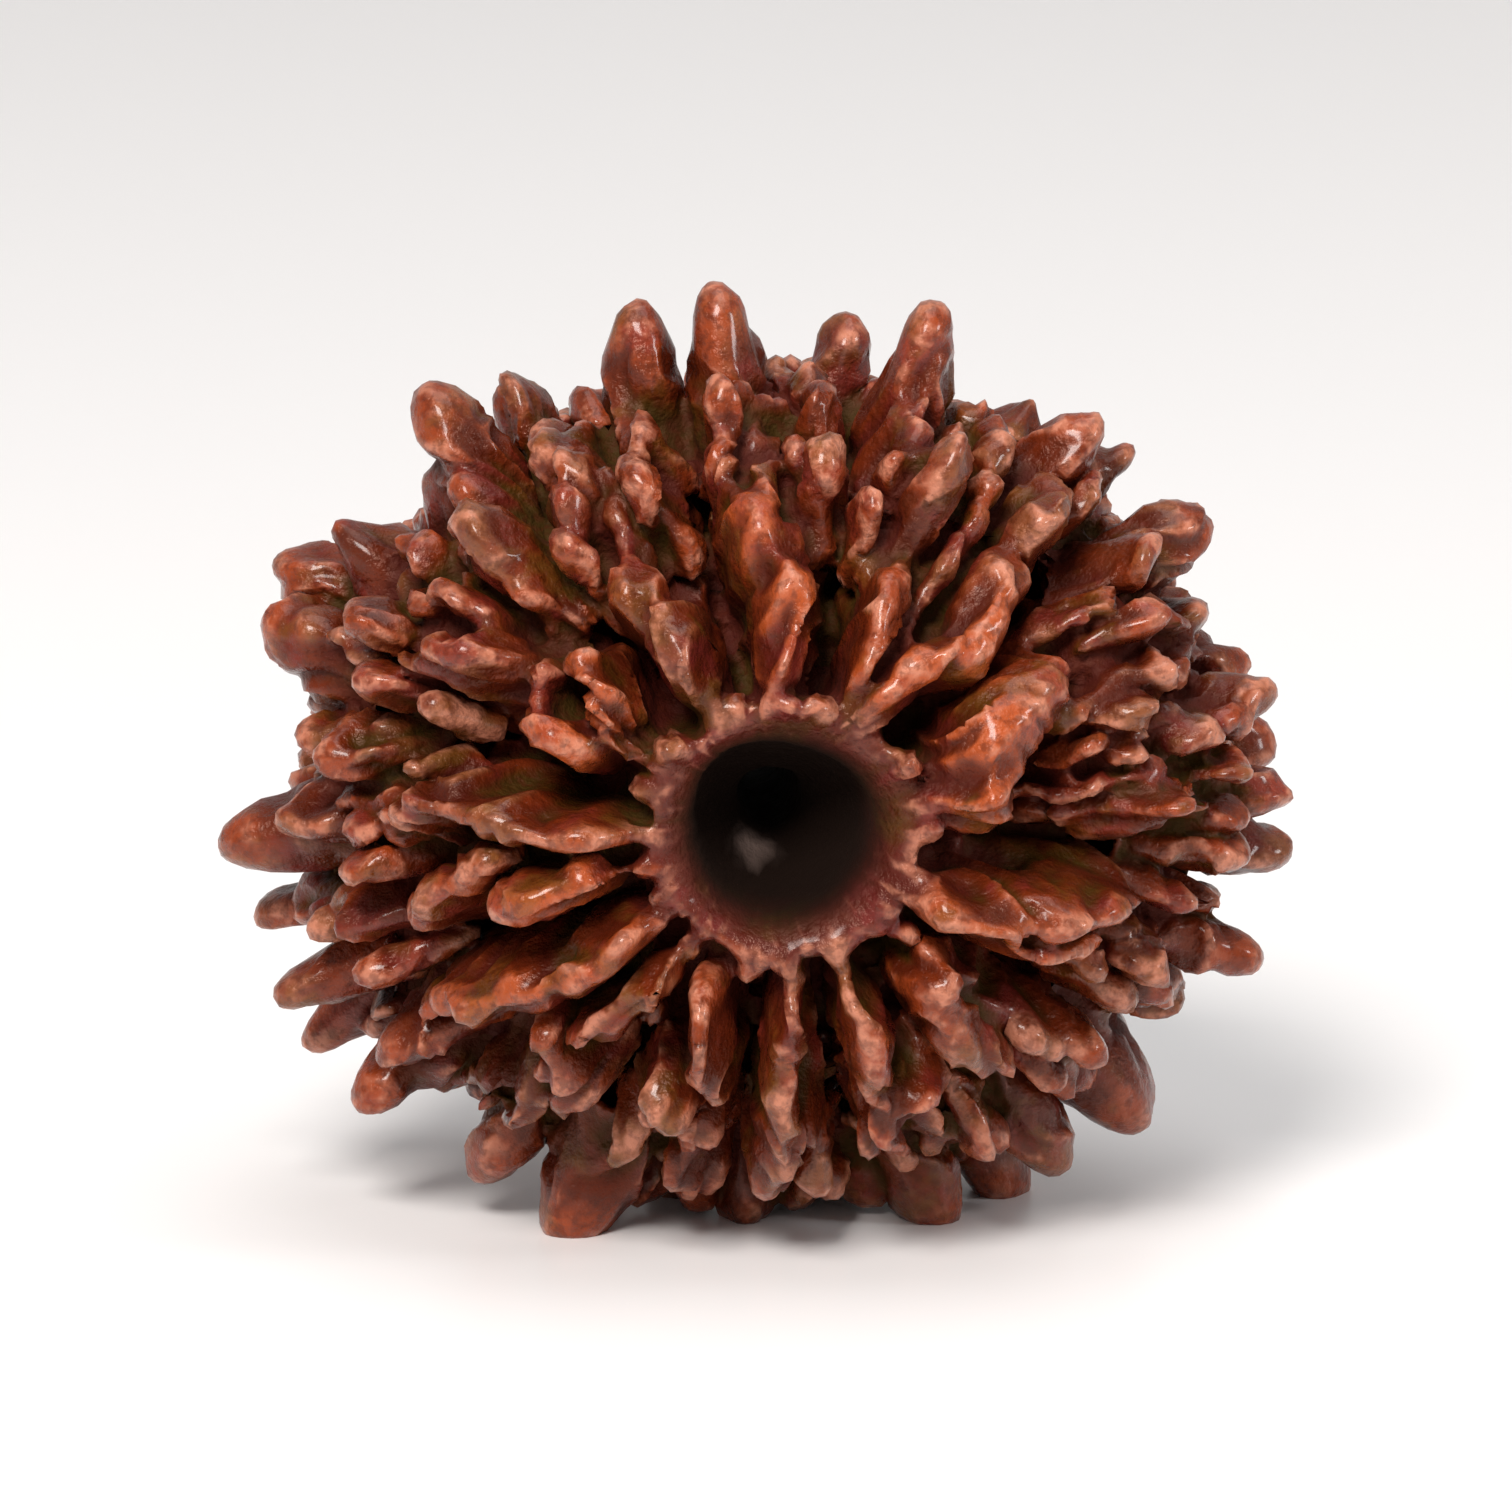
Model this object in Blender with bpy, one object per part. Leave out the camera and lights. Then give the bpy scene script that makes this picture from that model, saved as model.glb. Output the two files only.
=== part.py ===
"""Rudraksha bead: the woody stone of a seed, one natural piece, standing on its rim.

Fourteen furrows run from the collar round one mouth of the thread channel, over the rim, to the
other mouth. The lobes between them carry raised ridges, knobs and round-tipped teeth.
A clock angle is in degrees, clockwise from the top as seen from the front, which faces -Y.
A latitude is in degrees, from -90 at the front mouth through 0 at the rim to 90 at the back mouth.
Lengths are in millimetres until the mesh is made.
"""

import math
import random

import bpy
import numpy as np
from mathutils import Vector

MM = 0.001

# The body, without its ridges and teeth
HALF_WIDTH = 12.5
HEIGHT_ABOVE = 10.8
HEIGHT_BELOW = 11.5
HALF_THICKNESS = 10.2
MEAN_RADIUS = 12
MIDDLE_HEIGHT = 12.9
CHANNEL_SKEW = 0.078

# The thread channel, the well at both its ends and the collar round each mouth
CHANNEL_RADIUS = 0.9
WELL_RADIUS = 2.3
WELL_START = 0.5
WELL_FULL = 0.8
COLLAR_RADIUS = 3.9
COLLAR_FLARE = 16

# The furrows: the clock angle of each in the middle of the front face, at the rim and on the back
FURROWS = (
    (14, 13, 16),
    (52, 53, 44),
    (97, 101, 72),
    (122, 126, 99),
    (145, 142, 124),
    (168, 167, 151),
    (187, 184, 178),
    (209, 204, 203),
    (227, 229, 226),
    (245, 242, 251),
    (262, 259, 276),
    (282, 284, 301),
    (316, 321, 325),
    (344, 348, 351),
)
FURROW_DEPTH = 3.0
FURROW_HALF_WIDTH = 1.6
FURROW_START = 3.2
FURROW_FULL = 5.2

# Lesser furrows that split each lobe into blades: the angle between them at the rim, their depth,
# half width and sway in degrees, and where they begin and reach full depth
SPLIT_SPACING = 8.5
SPLIT_DEPTH = 1.0
SPLIT_HALF_WIDTH = 0.5
SPLIT_SWAY = 1.8
SPLIT_START = 4.4
SPLIT_FULL = 6.4

# Pockets of the front face: clock angle, distance from the axis, half width, depth
POCKETS = (
    (78, 7.5, 1.3, 1.8),
    (91, 7.3, 1.0, 1.4),
    (230, 9.0, 0.9, 1.6),
    (303, 6.7, 0.8, 1.3),
    (243, 6.9, 0.9, 1.2),
    (60, 9.4, 0.9, 1.2),
    (150, 7.2, 0.8, 1.0),
)

# How far the ground between the teeth reaches as seen from the front and a little above: clock angle, reach
VIEW_ELEVATION = 13
GROUND_ROOM = 1.2
OUTLINE_VALLEYS = (
    (5, 11.0), (17, 10.9), (30, 11.4), (56, 12.4), (70, 12.8), (80, 13.7), (90, 13.9), (98, 14.1),
    (107, 13.5), (126, 13.2), (139, 13.4), (160, 12.2), (180, 12.4), (195, 12.3), (207, 12.5),
    (221, 12.3), (234, 14.0), (247, 14.0),
    (254, 13.6), (274, 12.5), (304, 11.7), (321, 10.9), (332, 11.2), (350, 11.1),
)

# Raised ridges of the front face: half width, height, then clock angle and distance from the axis along each
FACE_RIDGES = (
    (1.19, 1.64, (0, 4.1), (1, 6.6), (356, 7.9), (353, 9.0)),
    (0.84, 1.39, (28, 4.3), (25, 6.0), (23, 7.4)),
    (1.06, 1.64, (31, 4.3), (39, 5.9), (47, 6.7), (45, 8.1), (42, 8.9)),
    (1.55, 1.95, (63, 8.2), (63, 6.7), (67, 5.6), (76, 5.2), (88, 5.4)),
    (1.06, 1.77, (104, 10.2), (106, 8.3), (111, 6.5), (117, 4.2)),
    (0.84, 1.14, (109, 10.3), (113, 8.7), (117, 7.2), (120, 4.7)),
    (1.40, 1.52, (139, 9.2), (140, 7.5), (138, 6.0), (129, 5.8)),
    (0.97, 1.64, (162, 11.6), (161, 8.4), (158, 6.3), (157, 4.6)),
    (0.84, 1.39, (149, 8.7), (155, 8.2), (161, 8.3)),
    (0.84, 1.52, (170, 11.9), (171, 11.0), (173, 9.1)),
    (0.97, 1.64, (179, 11.9), (180, 9.7), (179, 7.8), (178, 4.6)),
    (0.97, 1.52, (191, 8.0), (195, 7.3), (199, 6.1), (202, 5.3), (209, 4.7)),
    (1.12, 1.64, (197, 8.3), (205, 8.1)),
    (0.84, 1.26, (198, 11.4), (201, 9.0)),
    (0.84, 1.39, (211, 10.4), (219, 8.8), (226, 8.3), (232, 9.6)),
    (0.97, 1.39, (224, 8.3), (221, 7.0), (219, 4.7)),
    (1.12, 1.90, (235, 4.6), (236, 7.5), (238, 9.2), (239, 10.4)),
    (1.34, 1.64, (251, 7.9), (255, 6.9), (259, 4.8)),
    (0.91, 1.52, (250, 10.0), (256, 9.2), (261, 8.1), (264, 7.2)),
    (0.91, 1.52, (268, 10.1), (274, 8.6), (273, 7.2), (270, 6.3), (269, 4.2)),
    (0.84, 1.39, (278, 12.0), (281, 10.4)),
    (0.91, 1.64, (302, 5.2), (293, 5.8), (296, 6.8), (306, 7.5)),
    (0.91, 1.64, (302, 5.2), (308, 6.0), (312, 7.3)),
    (0.91, 1.52, (290, 10.5), (296, 9.5), (303, 8.2)),
    (1.12, 1.64, (327, 8.1), (329, 7.2), (332, 6.3), (330, 4.4)),
)

# Share of a ridge's height that is left at its ends, and how hollow its flanks are
RIDGE_END = 0.4
RIDGE_FLANK = 0.9

# Low knobs on the crest of the front collar: clock angle and distance from the axis
COLLAR_KNOBS = (
    (14, 3.9), (33, 4.2), (60, 3.9), (86, 4.1), (110, 4.2), (132, 4.7), (155, 4.7),
    (175, 4.5), (192, 4.4), (215, 4.6), (241, 4.2), (263, 4.5), (285, 4.3), (309, 4.0), (341, 4.0),
)
COLLAR_KNOB_HALF_WIDTH = 0.65
COLLAR_KNOB_HEIGHT = 0.55

# Knobs of the front shoulder: clock angle, distance from the axis, width, height
SHOULDER_KNOBS = (
    (9, 9.1, 1.6, 1.5), (25, 9.3, 2.3, 2.1), (62, 10.4, 1.7, 1.8), (89, 10.0, 1.5, 1.6),
    (131, 10.4, 1.5, 1.5), (149, 10.6, 1.9, 1.6), (218, 10.6, 1.7, 1.5), (232, 11.6, 1.7, 1.7),
    (262, 10.5, 1.5, 1.5), (295, 11.0, 1.7, 1.6), (315, 10.0, 2.3, 2.2), (330, 9.8, 1.6, 1.5),
    (354, 10.2, 1.6, 1.7), (43, 10.4, 1.9, 1.7), (73, 9.9, 1.6, 1.4), (113, 10.9, 1.5, 1.5),
    (86, 11.6, 1.7, 1.7), (99, 11.9, 1.7, 1.7), (340, 9.2, 1.4, 1.2), (304, 9.9, 1.6, 1.3),
    (245, 11.2, 1.4, 1.4), (274, 11.3, 1.5, 1.4), (188, 11.0, 1.4, 1.2), (172, 10.6, 1.2, 1.0),
)

# Teeth of the outline: clock angle and reach of the tip as seen, clock angle of the root, width, place along the axis
RIM_TEETH = (
    (355.0, 13.1, 356.5, 2.4, -1.4),
    (11.5, 12.6, 12.5, 1.7, 1.2),
    (21.5, 13.5, 25.0, 2.4, -1.6),
    (38.0, 12.7, 39.0, 2.6, 1.0),
    (45.0, 13.3, 44.0, 2.2, -1.8),
    (50.5, 13.75, 50.0, 2.3, 0.7),
    (61.5, 14.2, 62.5, 2.7, -0.8),
    (78.5, 13.9, 77.0, 2.4, 1.4),
    (83.0, 14.5, 83.0, 2.2, -1.9),
    (89.0, 14.6, 88.0, 2.2, 1.9),
    (94.0, 14.9, 93.0, 2.0, -1.2),
    (100.5, 15.25, 99.0, 2.5, 0.9),
    (112.5, 15.25, 112.0, 2.1, -1.2),
    (121.0, 13.7, 121.0, 2.2, 0.5),
    (133.5, 15.1, 131.5, 3.5, 0.6),
    (143.5, 14.5, 142.5, 2.6, -1.2),
    (164.5, 12.9, 165.0, 2.4, -0.8),
    (174.5, 12.6, 175.0, 2.4, -1.0),
    (187.5, 12.6, 187.5, 2.4, -1.3),
    (195.5, 12.9, 195.5, 2.5, -0.9),
    (213.5, 14.2, 215.0, 2.4, -1.6),
    (228.5, 14.9, 229.8, 2.4, -1.6),
    (237.5, 15.1, 236.0, 2.0, 1.6),
    (243.5, 15.1, 242.5, 2.0, -1.3),
    (252.0, 14.8, 251.0, 1.9, 1.4),
    (260.5, 15.2, 262.0, 2.4, -0.8),
    (286.0, 14.1, 285.0, 2.8, -1.5),
    (292.5, 14.5, 291.5, 2.6, 1.2),
    (299.0, 13.5, 298.0, 2.4, -1.0),
    (318.5, 13.75, 313.0, 2.8, -1.4),
    (326.5, 12.7, 325.5, 2.0, 1.0),
    (345.5, 13.0, 342.5, 2.3, -1.0),
)

# Teeth that the bead stands on, worn flat: clock angle, width, place along the axis
FOOT_TEETH = (
    (202.3, 3.1, -2.8),
    (190.5, 2.6, 1.8),
    (181.0, 2.6, -1.1),
    (170.0, 2.7, 3.6),
    (158.5, 2.8, -1.3),
    (151.5, 2.9, 1.6),
)
FOOT_OVERRUN = 0.6

# Rows of tubercles by rule: the latitude of each row, its usual width and height
TUBERCLE_ROWS = (
    (-39, 1.2, 0.7),
    (-28, 1.5, 1.0),
    (-17, 1.7, 1.3),
    (-6, 1.8, 1.4),
    (6, 1.8, 1.5),
    (18, 1.9, 1.6),
    (30, 2.0, 1.7),
    (42, 1.9, 1.6),
    (54, 1.6, 1.2),
    (64, 1.3, 0.8),
)
TUBERCLE_SPACING = 2.4

# Keels join the tubercles of a column, and links join one column to the next
KEEL_HALF_WIDTH = 1.25
KEEL_HEIGHT = 1.25
KEEL_START = -40
KEEL_END = 66
LINK_HALF_WIDTH = 0.9
LINK_HEIGHT = 0.9
LINK_SHARE = 0.35
SEED = 14

# Wrinkles strewn over the lobes: how many, the range of their half width, height and length,
# and how far the ground between them is lowered
WRINKLES = 320
WRINKLE_HALF_WIDTH = (0.45, 0.8)
WRINKLE_HEIGHT = (0.4, 0.85)
WRINKLE_LENGTH = (1.4, 3.2)
WRINKLE_BED = 0.35

# Lumps all over: how many waves, their longest length and their height
LUMP_WAVES = 14
LUMP_LENGTH = 2.8
LUMP_HEIGHT = 0.16

# The mesh: grid of the body, shape of a tooth, then the fused surface
AROUND = 420
ALONG_OUTSIDE = 170
ALONG_CHANNEL = 60
TOOTH_SIDES = 12
TOOTH_RINGS = 9
TOOTH_ROOT = 1.6
TOOTH_ROUNDING = 0.42
TOOTH_TAPER = 0.25
TOOTH_FLATNESS = (0.9, 1.2)
KNOB_TAPER = 0.6
KNOB_FLATNESS = (0.72, 1.6)
FUSE_VOXEL = 0.25
FUSE_SMOOTHING = 2
MOST_TRIANGLES = 11500


def smoothstep(low, high, value):
    t = np.clip((value - low) / (high - low), 0, 1)
    return t * t * (3 - 2 * t)


def rim_radius(clock):
    """Radius of the body's oval rim."""
    height = np.where(np.cos(clock) > 0, HEIGHT_ABOVE, HEIGHT_BELOW)
    return 1 / np.hypot(np.sin(clock) / HALF_WIDTH, np.cos(clock) / height)


def body_point(clock, latitude):
    """Point of the bare body, from the bead's middle. Angles in radians."""
    radius = rim_radius(clock) * np.cos(latitude)
    depth = HALF_THICKNESS * np.sin(latitude)
    across = radius * np.sin(clock) - CHANNEL_SKEW * depth
    return np.stack([across, depth + 0 * clock, radius * np.cos(clock)], axis=-1)


def body_normal(clock, latitude):
    radius = rim_radius(clock)
    out = np.cos(latitude) / radius
    along = np.sin(latitude) / HALF_THICKNESS
    length = np.hypot(out, along)
    return np.stack([out * np.sin(clock), along + 0 * clock, out * np.cos(clock)], -1) / length[..., None]


def within_outline(points, room=0):
    """The points, with any that would fill the gaps between the seen teeth drawn in to the axis."""
    lift = math.radians(VIEW_ELEVATION)
    up = points[..., 2] * math.cos(lift) + points[..., 1] * math.sin(lift)
    clock = np.degrees(np.arctan2(points[..., 0], up)) % 360
    angles, reaches = zip(*OUTLINE_VALLEYS)
    allowed = np.interp(clock, angles, reaches, period=360) - room
    share = np.minimum(1, allowed / np.maximum(np.hypot(points[..., 0], up), 1))[..., None]
    return points * np.concatenate([share, np.ones_like(share), share], axis=-1)


def ground_point(clock, latitude):
    """Point of the ground that ridges and teeth stand on, lower where they would hide the outline."""
    return within_outline(body_point(clock, latitude), GROUND_ROOM)


def latitude_at(clock, distance):
    """Latitude of the front face at this distance from the channel's axis."""
    return -np.arccos(np.clip(distance / rim_radius(clock), 0, 1))


def furrow_relief(clock, latitude):
    """Depth of the furrows, which follow the lobes from collar to collar."""
    distance = rim_radius(clock) * np.cos(latitude)
    present = smoothstep(FURROW_START, FURROW_FULL, distance)
    relief = np.zeros_like(clock)
    for index, (front, rim, back) in enumerate(FURROWS):
        bend = np.interp(np.degrees(latitude), (-55, -10, 10, 55), (front, rim, rim, back))
        sway = 1.3 * np.sin(5 * latitude + 2.1 * index)
        away = np.abs((np.degrees(clock) - bend - sway + 180) % 360 - 180)
        gap = np.radians(away) * distance / (FURROW_HALF_WIDTH * (1 + 0.25 * math.sin(3.7 * index)))
        relief = np.minimum(relief, -FURROW_DEPTH * np.clip(1 - gap, 0, 1))
    return relief * present


def split_relief(clock, latitude, draw):
    """Depth of the lesser furrows, which run between the furrows on both sides of each lobe."""
    distance = rim_radius(clock) * np.cos(latitude)
    relief = np.zeros_like(clock)
    for first, second in zip(FURROWS, FURROWS[1:] + FURROWS[:1]):
        lobe = (second[1] - first[1]) % 360
        blades = max(2, round(lobe / SPLIT_SPACING))
        for index in range(1, blades):
            share = (index + draw.uniform(-0.15, 0.15)) / blades
            bends = [low + ((high - low) % 360) * share for low, high in zip(first, second)]
            bend = np.interp(np.degrees(latitude), (-55, -10, 10, 55), (bends[0], bends[1], bends[1], bends[2]))
            sway = SPLIT_SWAY * np.sin(draw.uniform(3, 6) * latitude + draw.uniform(0, 2 * math.pi))
            away = np.abs((np.degrees(clock) - bend - sway + 180) % 360 - 180)
            gap = np.radians(away) * distance / (SPLIT_HALF_WIDTH * draw.uniform(0.75, 1.25))
            relief = np.minimum(relief, -SPLIT_DEPTH * draw.uniform(0.6, 1.1) * np.clip(1 - gap, 0, 1))
    return relief * smoothstep(SPLIT_START, SPLIT_FULL, distance)


def ridge_relief(points, path, half_width, height):
    """Height of a sharp-crested ridge along a path of points on the body, lower at the path's ends."""
    lengths = np.linalg.norm(np.diff(path, axis=0), axis=1)
    passed = np.concatenate([[0], np.cumsum(lengths)])
    relief = np.zeros(len(points))
    for start, end, before, length in zip(path[:-1], path[1:], passed, lengths):
        span = end - start
        share = np.clip((points - start) @ span / (span @ span), 0, 1)
        away = np.linalg.norm(points - start - share[:, None] * span, axis=1) / half_width
        place = (before + share * length) / passed[-1]
        crest = height * (RIDGE_END + (1 - RIDGE_END) * np.sqrt(np.sin(math.pi * np.clip(place, 0, 1))))
        relief = np.maximum(relief, crest * np.clip(1 - away, 0, 1) ** RIDGE_FLANK)
    return relief


def face_path(stops):
    """Points on the front face's ground from clock angles and distances from the axis."""
    clock = np.radians([stop[0] for stop in stops])
    return ground_point(clock, latitude_at(clock, np.array([stop[1] for stop in stops], float)))


def lumps(points, draw):
    """Low uneven lumps, as a sum of seeded waves through the points."""
    relief = np.zeros(len(points))
    for _ in range(LUMP_WAVES):
        direction = np.array([draw.gauss(0, 1) for _ in range(3)])
        length = LUMP_LENGTH * draw.uniform(0.45, 1)
        turns = points @ (direction / np.linalg.norm(direction)) * 2 * math.pi / length
        relief += np.sin(turns + draw.uniform(0, 2 * math.pi))
    return LUMP_HEIGHT * relief / math.sqrt(LUMP_WAVES / 2)


def furrow_clocks(latitude):
    """Clock angle of each furrow at this latitude, in degrees."""
    clocks = []
    for front, rim, back in FURROWS:
        clocks.append(float(np.interp(latitude, (-55, -10, 10, 55), (front, rim, rim, back))))
    return clocks


def tubercle_columns(draw):
    """Columns of tubercles along each lobe: for each one, its (clock, latitude, width, height) marks."""
    columns = []
    for index in range(len(FURROWS)):
        at_rim = furrow_clocks(0)
        lobe = (at_rim[(index + 1) % len(FURROWS)] - at_rim[index]) % 360
        abreast = max(1, round(math.radians(lobe) * MEAN_RADIUS / TUBERCLE_SPACING))
        for place in range(abreast):
            marks = []
            for latitude, width, height in TUBERCLE_ROWS:
                clocks = furrow_clocks(latitude)
                here = (clocks[(index + 1) % len(FURROWS)] - clocks[index]) % 360
                share = (place + 0.5 + draw.uniform(-0.13, 0.13)) / abreast
                turned = latitude + draw.uniform(-4, 4)
                size = draw.uniform(0.7, 1.25)
                marks.append((clocks[index] + here * share, turned, width * size, height * size))
            columns.append(marks)
    return columns


def keel_paths(columns, draw):
    """Paths of the keels and of the links between them, each with its half width and height."""
    paths = []
    for index, marks in enumerate(columns):
        first, last = marks[0], marks[-1]
        stops = [(first[0], KEEL_START), *(mark[:2] for mark in marks), (last[0], KEEL_END)]
        angles = np.radians(np.array(stops))
        paths.append((ground_point(angles[:, 0], angles[:, 1]), KEEL_HALF_WIDTH, KEEL_HEIGHT))
        beside = columns[(index + 1) % len(columns)]
        for mark, across in zip(marks, beside[1:]):
            if (across[0] - mark[0]) % 360 < 18 and draw.random() < LINK_SHARE:
                angles = np.radians(np.array([mark[:2], across[:2]]))
                paths.append((ground_point(angles[:, 0], angles[:, 1]), LINK_HALF_WIDTH, LINK_HEIGHT))
    return paths


def wrinkle_paths(draw):
    """Paths of short wrinkles, most of which run along the lobes, each with its half width and height."""
    paths = []
    for _ in range(WRINKLES):
        clock = draw.uniform(0, 2 * math.pi)
        latitude = math.asin(draw.uniform(-0.93, 0.93))
        length, turn = draw.uniform(*WRINKLE_LENGTH), draw.gauss(0, 0.5)
        clock_step = 0.5 * length * math.sin(turn) / (MEAN_RADIUS * math.cos(latitude))
        latitude_step = 0.5 * length * math.cos(turn) / MEAN_RADIUS
        clocks = clock + np.array([-1, 1]) * clock_step
        latitudes = latitude + np.array([-1, 1]) * latitude_step
        size = draw.uniform(*WRINKLE_HALF_WIDTH), draw.uniform(*WRINKLE_HEIGHT)
        paths.append((ground_point(clocks, latitudes), *size))
    return paths


def body_mesh(columns, draw):
    """Vertices and faces of the body with its furrows and ridges, closed through the channel."""
    collar_latitude = math.acos(COLLAR_RADIUS / MEAN_RADIUS)
    mouth = HALF_THICKNESS * math.sin(collar_latitude)
    clocks = np.linspace(0, 2 * math.pi, AROUND, endpoint=False)

    latitudes = np.linspace(-collar_latitude, collar_latitude, ALONG_OUTSIDE)
    clock, latitude = (part.ravel() for part in np.meshgrid(clocks, latitudes))
    bare = ground_point(clock, latitude)
    ridges = np.zeros(len(bare))
    for half_width, height, *stops in FACE_RIDGES:
        ridges = np.maximum(ridges, ridge_relief(bare, face_path(stops), half_width, height))
    furrows = furrow_relief(clock, latitude)
    open_ground = np.clip(1.4 + furrows, 0, 1)
    splits = split_relief(clock, latitude, draw) * (1 - np.clip(ridges, 0, 1))
    for path, half_width, height in keel_paths(columns, draw):
        keel = ridge_relief(bare, path, half_width, height) * open_ground
        ridges = np.maximum(ridges, keel)
    for mark in COLLAR_KNOBS:
        spot = face_path([mark])[0]
        reach = np.linalg.norm(bare - spot, axis=1) / COLLAR_KNOB_HALF_WIDTH
        ridges = np.maximum(ridges, COLLAR_KNOB_HEIGHT * np.clip(1 - reach**2, 0, 1))
    lobes = smoothstep(4.0, 6.5, rim_radius(clock) * np.cos(latitude))
    wrinkles = np.zeros(len(bare))
    for path, half_width, height in wrinkle_paths(draw):
        wrinkles = np.maximum(wrinkles, ridge_relief(bare, path, half_width, height))
    pockets = np.zeros(len(bare))
    for pocket_clock, distance, half_width, depth in POCKETS:
        spot = face_path([(pocket_clock, distance)])[0]
        reach = np.linalg.norm(bare - spot, axis=1) / half_width
        pockets = np.minimum(pockets, -depth * np.clip(1 - reach**2, 0, 1))
    furrows *= 1 - np.clip(ridges, 0, 1) ** 2
    wrinkles = (wrinkles * open_ground - WRINKLE_BED) * lobes
    relief = furrows + ridges + splits + wrinkles + lumps(bare, draw) + pockets
    outside = within_outline(bare + body_normal(clock, latitude) * relief[:, None])

    depths = np.linspace(mouth, -mouth, ALONG_CHANNEL + 2)[1:-1]
    clock, depth = (part.ravel() for part in np.meshgrid(clocks, depths))
    share = np.abs(depth / mouth)
    mouth_radius = rim_radius(clock) * math.cos(collar_latitude)
    radius = CHANNEL_RADIUS + (WELL_RADIUS - CHANNEL_RADIUS) * smoothstep(WELL_START, WELL_FULL, share)
    radius *= 1 + 0.06 * np.sin(3 * clock + 0.3 * depth)
    radius += (mouth_radius - radius) * share**COLLAR_FLARE
    channel = np.stack(
        [radius * np.sin(clock) - CHANNEL_SKEW * depth, depth, radius * np.cos(clock)], axis=-1
    )

    rows = ALONG_OUTSIDE + ALONG_CHANNEL
    row, column = np.meshgrid(np.arange(rows), np.arange(AROUND), indexing="ij")
    next_row, next_column = (row + 1) % rows, (column + 1) % AROUND
    corners = (
        row * AROUND + column,
        row * AROUND + next_column,
        next_row * AROUND + next_column,
        next_row * AROUND + column,
    )
    faces = np.stack([corner.ravel() for corner in corners], axis=-1)
    return np.vstack([outside, channel]), [tuple(face) for face in faces.tolist()]


def tooth_mesh(root, tip, width, draw, taper=TOOTH_TAPER, flatness=TOOTH_FLATNESS):
    """Vertices and faces of one round-tipped tooth, flattened across its lobe and a little bent."""
    root, tip = Vector(root), Vector(tip)
    axis = tip - root
    side = axis.cross(Vector((0, 1, 0))).normalized()
    along = side.cross(axis).normalized()
    bend = side * draw.uniform(-0.12, 0.12) * axis.length + along * draw.uniform(-0.15, 0.15) * axis.length
    cap = TOOTH_ROUNDING * width / axis.length
    vertices, faces = [], []
    for ring in range(TOOTH_RINGS):
        t = 1 - (1 - ring / TOOTH_RINGS) ** 1.7
        radius = 0.5 * width * (1 - taper * t) * (1 + 0.4 * (1 - t) ** 3)
        radius *= math.sqrt(1 - max(0, (t - 1 + cap) / cap) ** 2)
        middle = root + axis * t + bend * (t * t - t)
        for corner in range(TOOTH_SIDES):
            turn = 2 * math.pi * corner / TOOTH_SIDES
            offset = side * math.cos(turn) * radius * flatness[0]
            offset += along * math.sin(turn) * radius * flatness[1]
            vertices.append(middle + offset)
        if ring:
            for corner in range(TOOTH_SIDES):
                after = (corner + 1) % TOOTH_SIDES
                low, high = (ring - 1) * TOOTH_SIDES, ring * TOOTH_SIDES
                faces.append((low + corner, low + after, high + after, high + corner))
    vertices.append(tip)
    last = (TOOTH_RINGS - 1) * TOOTH_SIDES
    for corner in range(TOOTH_SIDES):
        faces.append((last + corner, last + (corner + 1) % TOOTH_SIDES, len(vertices) - 1))
    faces.append(tuple(reversed(range(TOOTH_SIDES))))
    return vertices, faces


def tooth_root(clock, depth):
    """Point inside the body's rim that a tooth grows from."""
    inside = rim_radius(clock) - TOOTH_ROOT
    return inside * math.sin(clock), 0.8 * depth, inside * math.cos(clock)


def rim_tooth(tip_clock, reach, root_clock, width, depth, draw):
    """A tooth of the outline, whose tip is seen at this clock angle and reach."""
    seen, lift = math.radians(tip_clock), math.radians(VIEW_ELEVATION)
    height = (reach * math.cos(seen) - depth * math.sin(lift)) / math.cos(lift)
    tip = (reach * math.sin(seen), depth, height)
    return tooth_mesh(tooth_root(math.radians(root_clock), depth), tip, width, draw)


def foot_tooth(clock, width, depth, draw):
    """A tooth that reaches a little below the ground plane, where its tip is cut off."""
    angle = math.radians(clock)
    low = MIDDLE_HEIGHT + FOOT_OVERRUN
    tip = (-low * math.tan(angle), depth, -low)
    return tooth_mesh(tooth_root(angle, depth), tip, width, draw)


def knob(clock, latitude, width, height, draw):
    """A blunt tubercle that stands on the body at this clock angle and latitude, in radians."""
    spot = ground_point(np.array(clock), np.array(latitude))
    out = body_normal(np.array([clock]), np.array([latitude]))[0]
    lean = np.array([draw.uniform(-0.25, 0.25) for _ in range(3)])
    tip = within_outline(spot + (out + lean) * height)
    return tooth_mesh(spot - out * TOOTH_ROOT, tip, 1.15 * width, draw, KNOB_TAPER, KNOB_FLATNESS)


def all_parts():
    """Every overlapping shape that the bead is fused from."""
    draw = random.Random(SEED)
    columns = tubercle_columns(draw)
    parts = [body_mesh(columns, draw)]
    parts += [rim_tooth(*tooth, draw) for tooth in RIM_TEETH]
    parts += [foot_tooth(*tooth, draw) for tooth in FOOT_TEETH]
    for clock, distance, width, height in SHOULDER_KNOBS:
        angle = math.radians(clock)
        parts.append(knob(angle, float(latitude_at(angle, distance)), width, height, draw))
    for clock, latitude, width, height in sum(columns, []):
        parts.append(knob(math.radians(clock), math.radians(latitude), width, height, draw))
    return parts


def joined_mesh(name, parts):
    """One mesh of all the parts, in metres, standing on the ground plane."""
    vertices, faces = [], []
    for part_vertices, part_faces in parts:
        first = len(vertices)
        vertices += [(x * MM, y * MM, (z + MIDDLE_HEIGHT) * MM) for x, y, z in part_vertices]
        faces += [tuple(first + corner for corner in face) for face in part_faces]
    mesh = bpy.data.meshes.new(name)
    mesh.from_pydata(vertices, [], faces)
    mesh.validate()
    return mesh


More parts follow.
